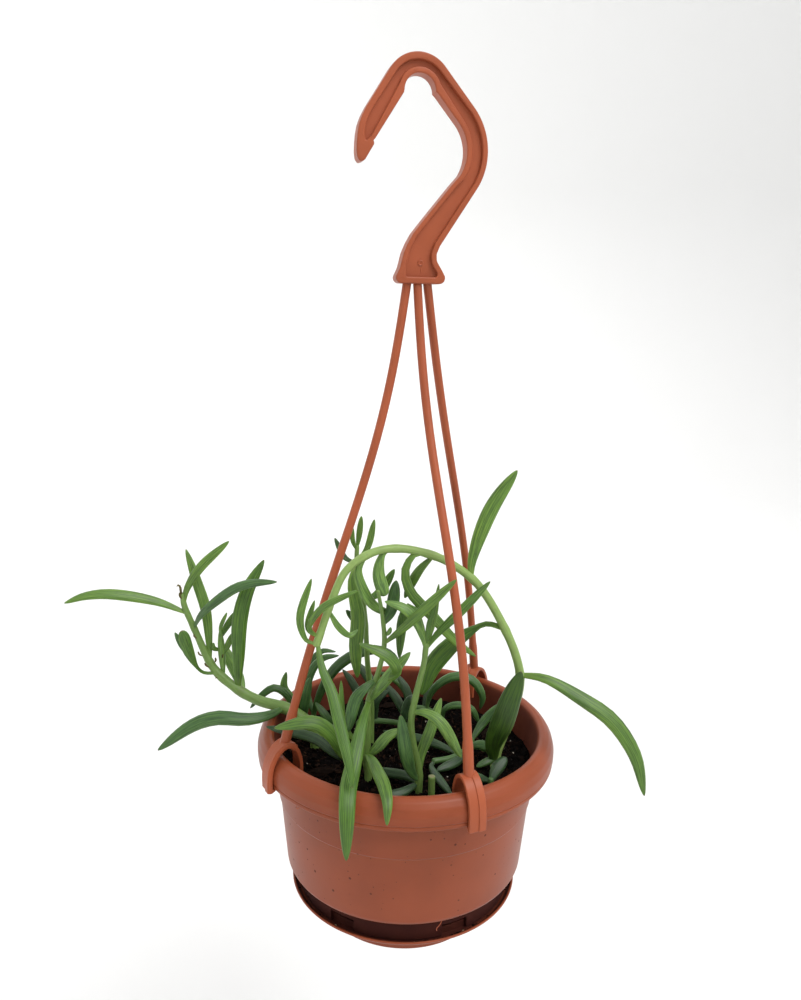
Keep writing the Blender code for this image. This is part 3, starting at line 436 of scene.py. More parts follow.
class Finish:
    """A material and the nodes that make it."""

    def __init__(self, name, colour, roughness):
        self.material = bpy.data.materials.new(name)
        self.material.use_nodes = True
        self.material.diffuse_color = (*colour[:3], 1)
        self.tree = self.material.node_tree
        self.shader = self.tree.nodes["Principled BSDF"]
        self.feed({"Base Color": (*colour[:3], 1), "Roughness": roughness})

    def feed(self, sockets):
        self.fill(self.shader, sockets.items())

    def fill(self, node, sockets):
        for key, value in sockets:
            if isinstance(value, Wire):
                self.tree.links.new(value.socket, node.inputs[key])
            else:
                node.inputs[key].default_value = value

    def node(self, kind, options=None, inputs=(), output=0):
        """Adds a node: its settings first, then the values or links of its sockets."""
        made = self.tree.nodes.new(kind)
        for key, value in (options or {}).items():
            setattr(made, key, value)
        self.fill(made, inputs.items() if isinstance(inputs, dict) else enumerate(inputs))
        return Wire(self, made.outputs[output])

    def spot(self):
        """Where a point of the surface is, in metres."""
        return self.node("ShaderNodeTexCoord", output="Object")

    def attribute(self, name, output="Fac"):
        return self.node("ShaderNodeAttribute", {"attribute_name": name}, output=output)

    def mix(self, share, a, b, how="MIX"):
        """Mixes two colours."""
        return self.node("ShaderNodeMix", {"data_type": "RGBA", "blend_type": how}, {0: share, 6: a, 7: b}, 2)

    def noise(self, vector, scale, detail=2.0, output=0):
        values = {"Vector": vector, "Scale": scale, "Detail": detail}
        return self.node("ShaderNodeTexNoise", None, values, output)

    def stretch(self, vector, scale):
        return self.node("ShaderNodeVectorMath", {"operation": "MULTIPLY"}, [vector, scale])

    def scaled(self, colour, factor):
        """A colour made lighter or darker."""
        return self.node("ShaderNodeVectorMath", {"operation": "SCALE"}, {"Vector": colour, "Scale": factor})

    def part(self, vector, axis):
        return self.node("ShaderNodeSeparateXYZ", None, [vector], axis)

    def vector(self, x, y, z):
        return self.node("ShaderNodeCombineXYZ", None, [x, y, z])

    def round_place(self, spot):
        """A spot's x, y and z in metres, and its radius and its height over the rim in millimetres."""
        x, y, z = (self.part(spot, axis) for axis in range(3))
        return x, y, z, (x * x + y * y) ** 0.5 * (1 / MM), z * (1 / MM) + RIM_DROP

    def bump(self, height, depth):
        """Raises the surface by height times depth, in millimetres."""
        self.feed({"Normal": self.node("ShaderNodeBump", None, {"Height": height, "Distance": depth * MM})})


def made_once(make):
    """Makes each finish only once, and finds it again by its name."""
    def found(name, *values):
        return bpy.data.materials.get(name) or make(name, *values)

    return found


@made_once
def plastic_finish(name, plastic, dirt_and_shade=None):
    """Moulded plastic with a faint mottle and grain. Dirt adds specks, and dark stains that are partly
    painted shade; it takes the finish.
    """
    base = plastic.colour if dirt_and_shade else plastic.hanger
    finish = Finish(name, base, plastic.roughness)
    spot = finish.spot()
    broad = finish.noise(spot, 28, 3)
    fine = finish.noise(spot, 900, 2)
    colour = finish.scaled((*base,), 0.9 + 0.2 * broad.between(0.3, 0.7))
    rough = plastic.roughness - 0.05 + 0.1 * broad + 0.06 * fine
    height = 0.35 * finish.noise(spot, 420, 1) + 0.25 * fine
    if dirt_and_shade:
        speck, stain_and_shade, ring = dirt_and_shade(finish, spot)
        # The stain is partly painted shade: it darkens where shade falls inside and under the pot and in the
        # gutter.
        colour = finish.mix(stain_and_shade, colour, STAIN_AND_SHADE)
        colour = finish.mix(0.75 * speck, colour, SPECK)
        rough = rough + 0.3 * speck + 0.5 * stain_and_shade
        height = height + 2.0 * speck + ring
    finish.feed({"Base Color": colour, "Roughness": rough, "Specular IOR Level": plastic.gloss})
    finish.bump(height, 0.03)
    return finish.material


def pot_dirt_and_shade(share):
    """Specks on the pot's body, a dark stain inside it and under it that is painted shade as well as dirt,
    and the rings that the mould left.
    """

    def dirt_and_shade(finish, spot):
        x, y, z, radius, level = finish.round_place(spot)
        turn = finish.node("ShaderNodeMath", {"operation": "ARCTAN2"}, [x, -1 * y])
        cells = {"Vector": finish.vector(turn * SPECK_SHEET_R, z, 0.0), "Scale": 190.0}
        near, kind = (finish.node("ShaderNodeTexVoronoi", {"voronoi_dimensions": "2D"}, cells, output)
                      for output in ("Distance", "Color"))
        chance, width = (finish.node("ShaderNodeSeparateColor", None, [kind], i) for i in range(2))
        body = 1 - level.between(LIP_Z - 1, LIP_Z)
        speck = (1 - (near - 0.1 * width ** 3.0).between(0.01, 0.055)) * body
        speck = speck * (1 - chance.between(share, share + 0.01))
        patch = finish.noise(spot, 60, 4)
        # Painted shade as well as dirt: the pot's inner wall is darkened, fully from the step up and fading
        # out towards the base.
        inside = (1 - (radius - WALL_TAPER * level).between(66.3, 67.0)) * level.between(BASE_Z, STEP_Z)
        inside = inside * (0.45 + 0.45 * patch)
        # Painted shade as well as dirt: everything below the pot's base, the foot ring and the underside, is
        # darkened.
        under = (1 - level.between(BASE_Z - 0.6, BASE_Z + 0.2)) * (0.86 + 0.2 * patch)
        ring = 0.12 * (level * 4.2).sine() * inside
        return speck, inside + under, ring

    return dirt_and_shade


def dish_dirt_and_shade(finish, spot):
    """The saucer's gutter: specks of dirt, and a dark stain that is partly dirt and partly painted shade
    under the pot.
    """
    radius, level = finish.round_place(spot)[3:]
    patch = finish.noise(spot, 90, 4)
    # Painted shade as well as dirt: the gutter's inside, under the pot's base and within the lip, is
    # darkened.
    upper = (level - GUTTER_TAPER * radius).between(GUTTER_LINE - 0.6, GUTTER_LINE + 0.1)
    gutter = upper * (1 - radius.between(DISH_LIP_R - 1.4, DISH_LIP_R - 0.7))
    speck = gutter * finish.noise(spot, 700, 2).between(0.62, 0.7)
    return speck, gutter * (0.8 + 0.25 * patch), 0.1 * patch


@made_once
def leaf_finish(name, window):
    """Succulent skin: each leaf's own tint, fine lines along it, a paler edge and foot, and a dry point."""
    finish = Finish(name, (0.06, 0.13, 0.03), 0.4)
    along, across = finish.attribute("along"), finish.attribute("across")
    upper, number = finish.attribute("upper"), finish.attribute("number")
    tint = finish.attribute("tint", "Color")
    streak = finish.noise(finish.vector(across * 5.5, along * 2.6, number * 3.7), 1.6, 4)
    lines = (across * 26 + 9.0 * finish.noise(finish.vector(along * 4, number * 1.9, across), 1.3, 2)).sine()
    mottle = finish.noise(finish.spot(), 300, 4)
    pale = streak.between(0.42, 0.72)
    broad = finish.noise(finish.vector(across * 1.3, along * 3.0, number * 5.1), 1.2, 2)
    shade = 0.36 + 0.6 * streak.between(0.34, 0.66) + 0.08 * lines + 0.5 * broad + 0.4 * (mottle - 0.5)
    colour = finish.mix(0.4 * pale, finish.scaled(tint, shade), finish.stretch(tint, (2.2, 1.6, 0.8)))
    middle = (1 - across.size().between(0.0, 0.2)) * upper.between(0.1, 0.8) * along.between(0.05, 0.2)
    rim = across.size().between(0.82, 1.0) * 0.4
    foot = (1 - along.between(0.0, 0.14)) * 0.6
    for weight, tone in (window * middle, (0.35, 0.45, 0.6)), (rim, (2.0, 1.6, 1.5)), (foot, (2.2, 1.7, 1.6)):
        colour = finish.mix(weight, colour, finish.stretch(tint, tone))
    colour = finish.mix(along.between(0.985, 1.0) * 0.75, colour, DRY_POINT)
    finish.feed({"Base Color": colour, "Roughness": 0.32 + 0.16 * streak + 0.08 * mottle, **SKIN_LIGHT})
    finish.bump(0.2 * lines + 0.8 * streak + 0.6 * mottle, 0.035)
    return finish.material


@made_once
def stem_finish(name):
    """Stem skin: its tint with streaks along it, brown scars where leaves fell, and a cream cut face."""
    finish = Finish(name, (0.12, 0.19, 0.05), 0.42)
    along, around = finish.attribute("along"), finish.attribute("across")
    tint = finish.attribute("tint", "Color")
    streak = finish.noise(finish.vector(around * 3, along * 9, 0.4), 1.4, 4)
    mottle = finish.noise(finish.spot(), 340, 4)
    colour = finish.scaled(tint, 0.92 + 0.16 * streak.between(0.3, 0.7) + 0.3 * (mottle - 0.5))
    colour = finish.mix(0.3 * mottle.between(0.62, 0.8), colour, CORK)
    scar = finish.attribute("scar")
    colour = finish.mix((scar * (0.6 + 0.6 * mottle)).between(0.3, 1.0) * 0.6, colour, SCAR)
    colour = finish.mix(finish.attribute("cut"), colour, CUT_FACE)
    finish.feed({"Base Color": colour, "Roughness": 0.34 + 0.2 * streak, **SKIN_LIGHT})
    finish.bump(0.6 * streak + 0.6 * mottle + 1.5 * scar, 0.05)
    return finish.material


@made_once
def crumb_finish(name, colour, pale, grain=900.0, tinted=False):
    """Potting mix, bark, fibre or dry skin: a dark ground with paler grains, or each crumb's own tint."""
    finish = Finish(name, colour, 0.9)
    spot = finish.spot()
    patch = finish.noise(spot, 0.3 * grain, 4)
    grains = finish.noise(spot, grain, 3)
    ground = finish.attribute("tint", "Color") if tinted else (*colour, 1)
    mixed = finish.mix(patch.between(0.5, 0.8) * 0.7, ground, (*pale, 1))
    mixed = finish.mix(grains.between(0.6, 0.78) * 0.3, mixed, (*times(pale, 2.0), 1))
    finish.feed({"Base Color": mixed, "Roughness": 0.78 + 0.2 * grains, "Specular IOR Level": 0.04})
    finish.bump(grains + patch, 0.3)
    return finish.material


def loose_finish(soil):
    """The finish of loose crumbs, which keep each its own tint."""
    return crumb_finish("soil crumbs", tuple(soil.colour), times(soil.fibre, 0.6), 700.0, True)


def link(mesh, name, finish, nodes=()):
    """Puts a finished piece in the scene, on the body, in place of its CAD nodes where it has any."""
    obj = bpy.data.objects.new(name, mesh)
    bpy.context.scene.collection.objects.link(obj)
    mesh.materials.clear()
    mesh.materials.append(finish)
    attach(obj, BODY)
    if nodes:
        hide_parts(*nodes)
    return obj


def link_moulding(mesh, name, plastic, node, look="terracotta plastic", dirt_and_shade=None):
    """Puts a moulded piece in place of its CAD node, with flat faces kept flat and sharp edges sharp."""
    obj = link(mesh, name, plastic_finish(look, plastic, dirt_and_shade), [node])
    obj.data.shade_smooth()
    obj.data.set_sharp_from_angle(angle=SHARP_ANGLE)
    weighted = obj.modifiers.new("even shading", "WEIGHTED_NORMAL")
    weighted.keep_sharp = True


def soften(points, radius, closed=False):
    """Rounds the corners of a row of flat points."""
    points = [Vector(p) for p in points]
    count = len(points)
    found = []
    for i, point in enumerate(points):
        if not closed and i in (0, count - 1):
            found.append(point)
            continue
        back, ahead = points[i - 1] - point, points[(i + 1) % count] - point
        turn = math.pi - back.angle(ahead, math.pi)
        if turn < STRAIGHT:
            found.append(point)
            continue
        reach = min(radius, 0.42 * back.length, 0.42 * ahead.length)
        start, end = point + back.normalized() * reach, point + ahead.normalized() * reach
        for t in even_shares(CORNER_POINTS):
            found.append((1 - t) ** 2 * start + 2 * t * (1 - t) * point + t * t * end)
    return found


def turned(profile, shape=None):
    """A mesh turned round the pot's axis from radii and heights; shape may move a point in or out."""
    bm = bmesh.new()
    rings = []
    for r, z in profile:
        ring = [(r + (shape(r, a, z) if shape else 0), a) for a in turns(TURN_STEPS, r)]
        rings.append([bm.verts.new(place(*polar(reach, a, z))) for reach, a in ring])
    fill_rings(bm, rings)
    return closed_mesh(bm, "turned")


def to_mesh(bm, name):
    """The mesh as it is. The scratch data is freed."""
    mesh = bpy.data.meshes.new(name)
    bm.to_mesh(mesh)
    bm.free()
    return mesh


def closed_mesh(bm, name):
    """The mesh with its faces turned outwards."""
    bmesh.ops.recalc_face_normals(bm, faces=bm.faces)
    return to_mesh(bm, name)


def block(middle, size, angle):
    """A plain box, only used to cut with."""
    bm = bmesh.new()
    bmesh.ops.create_cube(bm, size=1)
    for vert in bm.verts:
        local = Vector([c * s * MM for c, s in zip(vert.co, size)])
        vert.co = Matrix.Rotation(angle, 3, "Z") @ local + place(*middle)
    return to_mesh(bm, "block")


def post(x, y, low, high, radius):
    """A plain round, only used to cut with."""
    bm = bmesh.new()
    bmesh.ops.create_cone(bm, cap_ends=True, segments=HOLE_SIDES, radius1=radius * MM, radius2=radius * MM,
                          depth=(high - low) * MM)
    bmesh.ops.translate(bm, verts=bm.verts, vec=place(x, y, (low + high) / 2))
    return to_mesh(bm, "post")


def finished(obj):
    """The mesh that an object comes to with its modifiers. The object itself is taken away."""
    bpy.context.scene.collection.objects.link(obj)
    bpy.context.view_layer.update()
    mesh = bpy.data.meshes.new_from_object(obj.evaluated_get(bpy.context.evaluated_depsgraph_get()))
    bpy.data.objects.remove(obj)
    return mesh


def carved(mesh, cutters):
    """The mesh with every cutter taken out of it."""
    group = bpy.data.collections.new("cutters")
    for i, cutter in enumerate(cutters):
        group.objects.link(bpy.data.objects.new(f"cutter_{i}", cutter))
    blank = bpy.data.objects.new("blank", mesh)
    boolean = blank.modifiers.new("cuts", "BOOLEAN")
    boolean.operand_type = "COLLECTION"
    boolean.collection = group
    result = finished(blank)
    for obj in list(group.objects):
        bpy.data.objects.remove(obj)
    bpy.data.collections.remove(group)
    return result


def plate(outlines, thickness, bevel, foot, angle):
    """A flat shape with rounded edges, stood on edge with its x along the angle and its y up."""
    curve = bpy.data.curves.new("plate", "CURVE")
    curve.dimensions = "2D"
    curve.fill_mode = "BOTH"
    curve.extrude = (thickness / 2 - bevel) * MM
    curve.bevel_depth = bevel * MM
    curve.bevel_resolution = 2
    curve.offset = -bevel * MM
    for outline in outlines:
        spline = curve.splines.new("POLY")
        spline.points.add(len(outline) - 1)
        for point, (u, v) in zip(spline.points, outline):
            point.co = (u * MM, v * MM, 0, 1)
        spline.use_cyclic_u = True
    mesh = finished(bpy.data.objects.new("plate", curve))
    turn = Matrix.Translation(foot) @ Matrix.Rotation(angle, 4, "Z") @ Matrix.Rotation(math.pi / 2, 4, "X")
    mesh.transform(turn)
    bm = bmesh.new()
    bm.from_mesh(mesh)
    bmesh.ops.remove_doubles(bm, verts=bm.verts, dist=0.001 * MM)
    return closed_mesh(bm, "plate")


def gathered(meshes):
    """Several closed meshes as one."""
    bm = bmesh.new()
    for mesh in meshes:
        bm.from_mesh(mesh)
    return to_mesh(bm, "gathered")


def arc(middle, radius, start, end, count):
    """Points of a round stretch. Angles are in degrees."""
    steps = (math.radians(start + (end - start) * i / (count - 1)) for i in range(count))
    return [(middle[0] + radius * math.cos(a), middle[1] + radius * math.sin(a)) for a in steps]


def smooth_route(points, per_span):
    """Points on a smooth curve that passes through the given ones."""
    points = [Vector(p) for p in points]
    ends = [2 * points[0] - points[1], *points, 2 * points[-1] - points[-2]]
    found = []
    for i in range(1, len(ends) - 2):
        a, b, c, d = ends[i - 1:i + 3]
        for k in range(per_span):
            t = k / per_span
            found.append(0.5 * (2 * b + (c - a) * t + (2 * a - 5 * b + 4 * c - d) * t * t
                                + (3 * b - a - 3 * c + d) * t ** 3))
    return [*found, points[-1]]


def spaced(route, shares):
    """The points that lie these shares of the way along a route."""
    lengths = [(b - a).length for a, b in zip(route, route[1:])]
    total = sum(lengths)
    found, i, passed = [], 0, 0.0
    for share in shares:
        while i < len(lengths) - 1 and passed + lengths[i] < share * total:
            passed += lengths[i]
            i += 1
        found.append(route[i].lerp(route[i + 1], min(1, (share * total - passed) / lengths[i])))
    return found


def nearest(route, point):
    """The point of a route nearest to another point, and its share of the way along."""
    shares = even_shares(201)
    points = spaced(route, shares)
    return min(zip(points, shares), key=lambda found: (found[0] - point).length)


def frames(centres, facing):
    """For each point of a centre line, the way across it and the way out of it, turning smoothly."""
    ways = []
    last = len(centres) - 1
    for i in range(last + 1):
        ahead = (centres[min(i + 1, last)] - centres[max(i - 1, 0)]).normalized()
        across = ahead.cross(facing)
        if ways and across.dot(ways[-1][1]) < 0:
            across = -across
        ways.append((ahead, across))
    found = []
    for i, (ahead, _) in enumerate(ways):
        across = sum((way[1] for way in ways[max(0, i - 2):i + 3]), Vector())
        across = (across - ahead * across.dot(ahead)).normalized()
        found.append((across, across.cross(ahead)))
    return found


def fill_rings(bm, rings):
    """Joins rings of points into a skin. A ring of one point closes it."""
    sides = max(len(ring) for ring in rings)
    for low, high in zip(rings, rings[1:]):
        for k in range(sides):
            n = (k + 1) % sides
            corners = [low[k % len(low)], low[n % len(low)], high[n % len(high)], high[k % len(high)]]
            bm.faces.new(list(dict.fromkeys(corners)))


class Skin:
    """Collects lofted pieces in one mesh, with the values that their finish reads."""

    def __init__(self):
        self.bm = bmesh.new()
        self.values = {name: self.bm.verts.layers.float.new(name)
                       for name in ("along", "across", "upper", "number", "scar", "cut")}
        self.tint = self.bm.verts.layers.float_color.new("tint")

    def loft(self, centres, halves, shares, facing, sides, tint, number=0.0, groove=0.0, scars=None, cut=0.0):
        """A closed form along its centres, oval in section, with a point at each end."""
        rings = []
        last = len(centres) - 1
        for i, ((across, out), centre, (half_width, half_thick)) in enumerate(
                zip(frames(centres, facing), centres, halves)):
            ring = []
            for k in range(1 if i in (0, last) else sides):
                x, y = polar(1, math.tau * k / sides)
                dip = 1 - groove * math.exp(-(x / 0.32) ** 2) if y > 0 else 1
                point = centre
                if 0 < i < last:
                    point = centre + across * half_width * x + out * half_thick * y * dip
                vert = self.bm.verts.new(place(*point))
                mark = {"along": shares[i], "across": x, "upper": y, "number": number,
                        "scar": scars[i] if scars else 0.0, "cut": cut if i >= last - 2 else 0.0}
                for name, value in mark.items():
                    vert[self.values[name]] = value
                vert[self.tint] = (*tint, 1)
                ring.append(vert)
            rings.append(ring)
        fill_rings(self.bm, rings)

    def mesh(self, name):
        mesh = closed_mesh(self.bm, name)
        mesh.shade_smooth()
        return mesh


def leaf_fullness(s, stalk, blunt):
    """Share of a leaf's full width at a share of its length: a narrow foot, a full middle, a short point."""
    t = max(0, (s - stalk) / (1 - stalk))
    rise = math.sin(math.pi / 2 * min(1, t / (0.56 + 0.2 * blunt)))
    start = 0.52 + 0.3 * blunt
    fall = max(0, 1 - max(0, (t - start) / (1 - start)) ** 2.3) ** (0.6 - 0.1 * blunt)
    return (LEAF_FOOT + (1 - LEAF_FOOT) * rise) * fall


def leaf_halves(shares, width, flatness, stalk=0, blunt=0):
    """Half the width and half the thickness of a leaf at shares of its length."""
    halves = [width / 2 * leaf_fullness(s, stalk, blunt) for s in shares]
    return [(half, half * flatness) for half in halves]


def end_heavy(count):
    """Shares from 0 to 1 that crowd towards both ends."""
    return [0.5 - 0.5 * math.cos(math.pi * (i / (count - 1)) ** 0.9) for i in range(count)]


def pot_profile():
    """Radii and heights from the middle of the floor, up the inside, over the rim and down the outside."""
    return [
        (0, FLOOR_Z), (57.4, FLOOR_Z), (58.7, FLOOR_Z + 1.5), (62.0, STEP_Z), (64.3, LIP_Z), (65.7, -4),
        (66.6, -0.6), (67.6, 0.6), (69.6, 0.9), (71.8, -0.4), (73.6, -3.0), (COLLAR_R, -6.5),
        (COLLAR_R, LIP_Z + 2.7), (COLLAR_R - 0.6, LIP_Z + 2.2), (COLLAR_R - 0.3, LIP_Z + 1.7),
        (COLLAR_R - 0.3, LIP_Z), (COLLAR_R - 0.3 - WALL, LIP_Z), (COLLAR_R - 0.3 - WALL, -6.5), (71.0, -3.2),
        (68.6, -1.8), (67.3, -5.0), (65.9, LIP_Z), (64.3, STEP_Z + 0.4), (63.6, STEP_Z - 0.3),
        (60.4, BASE_Z + 1.6), (BASE_R, BASE_Z), (BASE_R - 1.2, BASE_Z), (BASE_R - 2.2, FLOOR_Z - 1.8),
        (FOOT_R, FLOOR_Z - 1.8), (FOOT_R, FOOT_Z), (FOOT_R - WALL, FOOT_Z), (FOOT_R - WALL, FLOOR_Z - 1.8),
        (0, FLOOR_Z - 1.8),
    ]


def dish_profile():
    """Radii and heights from the middle of the saucer, out over its lip and back along its underside."""
    flange = FOOT_Z - FIT
    spigot_r = FOOT_R - WALL - FIT
    return [
        (0, DISH_Z), (STAND_R - 1.6, DISH_Z), (44.4, DISH_Z + 1.8), (spigot_r - DISH_WALL, flange - 1.6),
        (spigot_r - DISH_WALL, FOOT_Z + 3.5), (spigot_r, FOOT_Z + 3.5), (spigot_r, flange),
        (FOOT_R + 0.8, flange), (DISH_LIP_R - 1.2, DISH_LIP_Z), (DISH_LIP_R - 0.3, DISH_LIP_Z + 0.3),
        (DISH_LIP_R, DISH_LIP_Z - 0.5), (DISH_LIP_R - 0.6, DISH_LIP_Z - 1.2),
        (FOOT_R + 0.6, flange - DISH_WALL), (52.0, flange - DISH_WALL - 0.6),
        (45.6, DISH_Z + 0.2), (STAND_R + 0.3, DISH_Z - 1.8), (STAND_R, STAND_Z), (STAND_R - 1.8, STAND_Z),
        (STAND_R - 2.0, DISH_Z - DISH_WALL - 0.2), (0, DISH_Z - DISH_WALL - 0.2),
    ]


def hook_outline():
    """The hook's edge, clockwise from the blunt tip, up over the crown and down to the foot."""
    u, v = BEND_MIDDLE
    return [
        (-26.2, -37.3), (-27.5, -35.8), (-27.9, -33.0), (-27.8, -29.2), (-27.5, -25.5), (-26.8, -21.9),
        (-25.5, -18.4), (-23.8, -15.1),
        *arc((-0.3, -7), CROWN_R, 147, 44, 33), *arc((u, v), BEND_R, 42, -33, 30),
        (10.7, -71.0), (9.2, -74.6), (9.4, -77.6), (12.0, -81.6),
        *arc((10.8, -84.9), 2.7, 40, -90, 9), *arc((-7.1, -85.1), 2.5, -90, -210, 9),
        (-7.8, -80.8), (-6.1, -74.1), (-4.3, -70.0), (-1.9, -65.8), (2.9, -59.8), (15.4, -44.7),
        *arc((u, v), BEND_R - BAND, -33, 42, 24), (8.0, -7.8), *arc((0, -SEAT_R), SEAT_R, 0, 180, 27),
        (-7.2, -8.2), (-19.8, -27.8), (-20.4, -28.2), (-20.0, -29.7), (-24.2, -36.6),
    ]


def recess_outline():
    """The edge of the sunk face, which leaves a border all round."""
    u, v = BEND_MIDDLE
    return [
        (-23.9, -28.7), (-24.4, -26.0), (-24.0, -22.5), (-22.6, -18.8), (-20.8, -15.4),
        *arc((-0.3, -7), CROWN_R - BORDER - 0.5, 147, 44, 27), *arc((u, v), BEND_R - BORDER, 42, -33, 27),
        (8.2, -69.9), (6.6, -74.6), (6.9, -78.4), (9.9, -83.2), (9.2, -84.6), (-5.0, -84.6),
        (-5.0, -80.0), (-3.5, -73.6), (-0.5, -67.4), (4.8, -60.8), (17.4, -45.6),
        *arc((u, v), BEND_R - BAND + BORDER, -33, 42, 22), *arc((0, -SEAT_R), SEAT_R + BORDER, 20, 165, 22),
        (-21.5, -26.6),
    ]


def band(centre, thickness):
    """The outline of a strip of even thickness along its centre line."""
    sides = [], []
    for i, point in enumerate(centre):
        ahead = (centre[min(i + 1, len(centre) - 1)] - centre[max(i - 1, 0)]).normalized()
        away = Vector((ahead.y, -ahead.x)) * thickness / 2
        sides[0].append(point + away)
        sides[1].append(point - away)
    return sides[0] + sides[1][::-1]


def rod_route(top, foot, sway):
    """A rod leaves the hook almost straight down, leans out, and comes down upright to its clip."""
    route = []
    for s in even_shares(ROD_POINTS):
        lean = s - sway[0] * math.sin(2 * math.pi * s) - sway[1] * math.sin(math.pi * s)
        route.append(Vector((top.x + (foot.x - top.x) * lean, top.y + (foot.y - top.y) * lean,
                             top.z + (foot.z - top.z) * s)))
    return route


def clip_top(angle):
    """Where a rod ends on its clip, at the clip's angle."""
    return Vector((math.cos(angle), math.sin(angle), 0)) * CLIP_TOP[0] + Vector((0, 0, CLIP_TOP[1]))


def clip_meshes(angle):
    """A strap bent over the rim, a raised half along it, and a toe that hooks under the collar."""
    route = [(76.1, -14.6), (76.1, -8), (75.0, -1.6), (71.5, 4.4), (67.0, 7.0), (62.8, 4.8), (60.6, -1),
             (60.2, -8)]
    centre = smooth_route(route, 6)
    side = Vector((-math.sin(angle), math.cos(angle), 0))
    foot = place(0, 0, 0)
    toe_top = LIP_Z - FIT
    toe = [(76.4, toe_top), (73.0, toe_top), (73.2, toe_top - 0.9), (75.0, toe_top - 1.9),
           (76.4, toe_top - 1.9)]
    return [
        plate([soften(band(centre, CLIP_THICK), 0.6, True)], CLIP_WIDTH, 0.35, foot, angle),
        plate([soften(band(centre[:31], CLIP_THICK + 2 * RIB_HEIGHT), 0.6, True)], CLIP_WIDTH / 2 - 0.6, 0.3,
              foot + side * (CLIP_WIDTH / 4) * MM, angle),
        plate([soften(toe, 0.4, True)], CLIP_WIDTH - 1.2, 0.25, foot, angle),
    ]


def soil_height(x, y):
    """Height of the soil, uneven, in millimetres."""
    lumps = math.sin(0.21 * x + 1.3) * math.cos(0.17 * y) + 0.6 * math.sin(0.37 * y - 0.29 * x + 0.5)
    rough = noise.fractal(Vector((x, y, 3)) * 0.24, 0.5, 2.1, 6)
    return SOIL_Z + 0.5 * lumps + 1.5 * rough


class Crumbs:
    """Collects broken lumps with uneven faces, each with its own tint, in one mesh."""

    def __init__(self):
        self.corners, self.faces, self.tints = [], [], []
        self.balls = {fineness: self.ball(fineness) for fineness in (1, 2, 3)}

    def ball(self, fineness):
        bm = bmesh.new()
        bmesh.ops.create_icosphere(bm, subdivisions=fineness, radius=1)
        corners = [vert.co.copy() for vert in bm.verts]
        faces = [[vert.index for vert in face.verts] for face in bm.faces]
        bm.free()
        return corners, faces

    def add(self, at, size, stretch, turn, fineness, seed, colour):
        first = len(self.corners)
        corners, faces = self.balls[fineness]
        for corner in corners:
            swell = 1 + 0.55 * noise.noise(corner * 1.7 + Vector((seed, 0, 0)))
            local = Vector((corner.x * stretch, corner.y, corner.z * 0.75)) * swell * size * MM
            self.corners.append(turn @ local + at)
            self.tints.extend((*colour, 1))
        self.faces.extend([first + i for i in face] for face in faces)

    def mesh(self, name):
        mesh = bpy.data.meshes.new(name)
        mesh.from_pydata(self.corners, [], self.faces)
        layer = mesh.attributes.new("tint", "FLOAT_COLOR", "POINT")
        layer.data.foreach_set("color", self.tints)
        mesh.update()
        return mesh


def hue(name, about, default):
    """A setting for a colour."""
    return FloatVectorProperty(name=name, description=about, subtype="COLOR", size=3, min=0, max=1,
                               default=default)


def fraction(name, about, default, most=1.0):
    """A setting from nothing to all, or to the most that makes sense."""
    return FloatProperty(name=name, description=about, subtype="FACTOR", min=0, max=most, default=default)


def amount(name, about, default):
    """A setting with no upper end."""
    return FloatProperty(name=name, description=about, min=0, default=default)


def whole(name, about, default, least, most):
    """A setting for a whole number."""
    return IntProperty(name=name, description=about, default=default, min=least, max=most)


class PlasticSettings(bpy.types.PropertyGroup):
    colour: hue("Pot plastic", "Colour of the pot and the saucer", (0.25, 0.056, 0.0215))
    # The hanger's colour is lighter than the pot's: partly painted light, which lifts the shade in the hook's
    # sunk faces.
    hanger: hue("Hanger plastic", "Colour of the hook, the rods and the clips", (0.345, 0.083, 0.034))
    roughness: fraction("Roughness", "How matt the plastic is", 0.36)
    gloss: fraction("Gloss", "Strength of the plastic's reflections", 0.24)
    specks: fraction("Specks", "Share of the spots that hold a speck of dirt", 0.38)
    edge: FloatProperty(name="Edge rounding", description="Radius of the hook's rounded edges",
                        default=0.0006, min=0.0001, max=0.0012, unit="LENGTH", subtype="DISTANCE")


class PlantSettings(bpy.types.PropertyGroup):
    sides: whole("Leaf sides", "Faces round each leaf", 16, 8, 32)
    stations: whole("Leaf stations", "Rings along each leaf", 24, 10, 48)
    groove: fraction("Groove", "Depth of the groove along a leaf's upper side", 0.22, 0.6)
    knuckle: fraction("Knuckles", "How much a stem swells where a leaf leaves it", 0.1, 0.6)
    frost: hue("Frosted leaves", "The palest, greyest leaves", (0.12, 0.235, 0.055))
    young: hue("Young leaves", "Young yellow-green leaves", (0.095, 0.195, 0.032))
    fresh: hue("Fresh leaves", "Small fresh leaves", (0.08, 0.168, 0.028))
    leaf: hue("Grown leaves", "Most leaves", (0.07, 0.156, 0.027))
    cool: hue("Cool leaves", "Blue-green leaves", (0.053, 0.126, 0.036))
    mid: hue("Full leaves", "Full green leaves", (0.062, 0.145, 0.019))
    dark: hue("Dark leaves", "Older leaves near the soil", (0.038, 0.096, 0.023))
    deep: hue("Deep leaves", "The darkest leaves, on the soil", (0.025, 0.06, 0.022))
    olive: hue("Broad leaf", "The broad leaf at the foot of the arching stem", (0.03, 0.075, 0.009))
    bright: hue("Arching stem", "The long arching stem", (0.228, 0.335, 0.094))
    stalk: hue("Stems", "The upright and trailing stems", (0.145, 0.24, 0.058))
    dusk: hue("Creeping stems", "The stems that creep over the soil", (0.062, 0.13, 0.034))


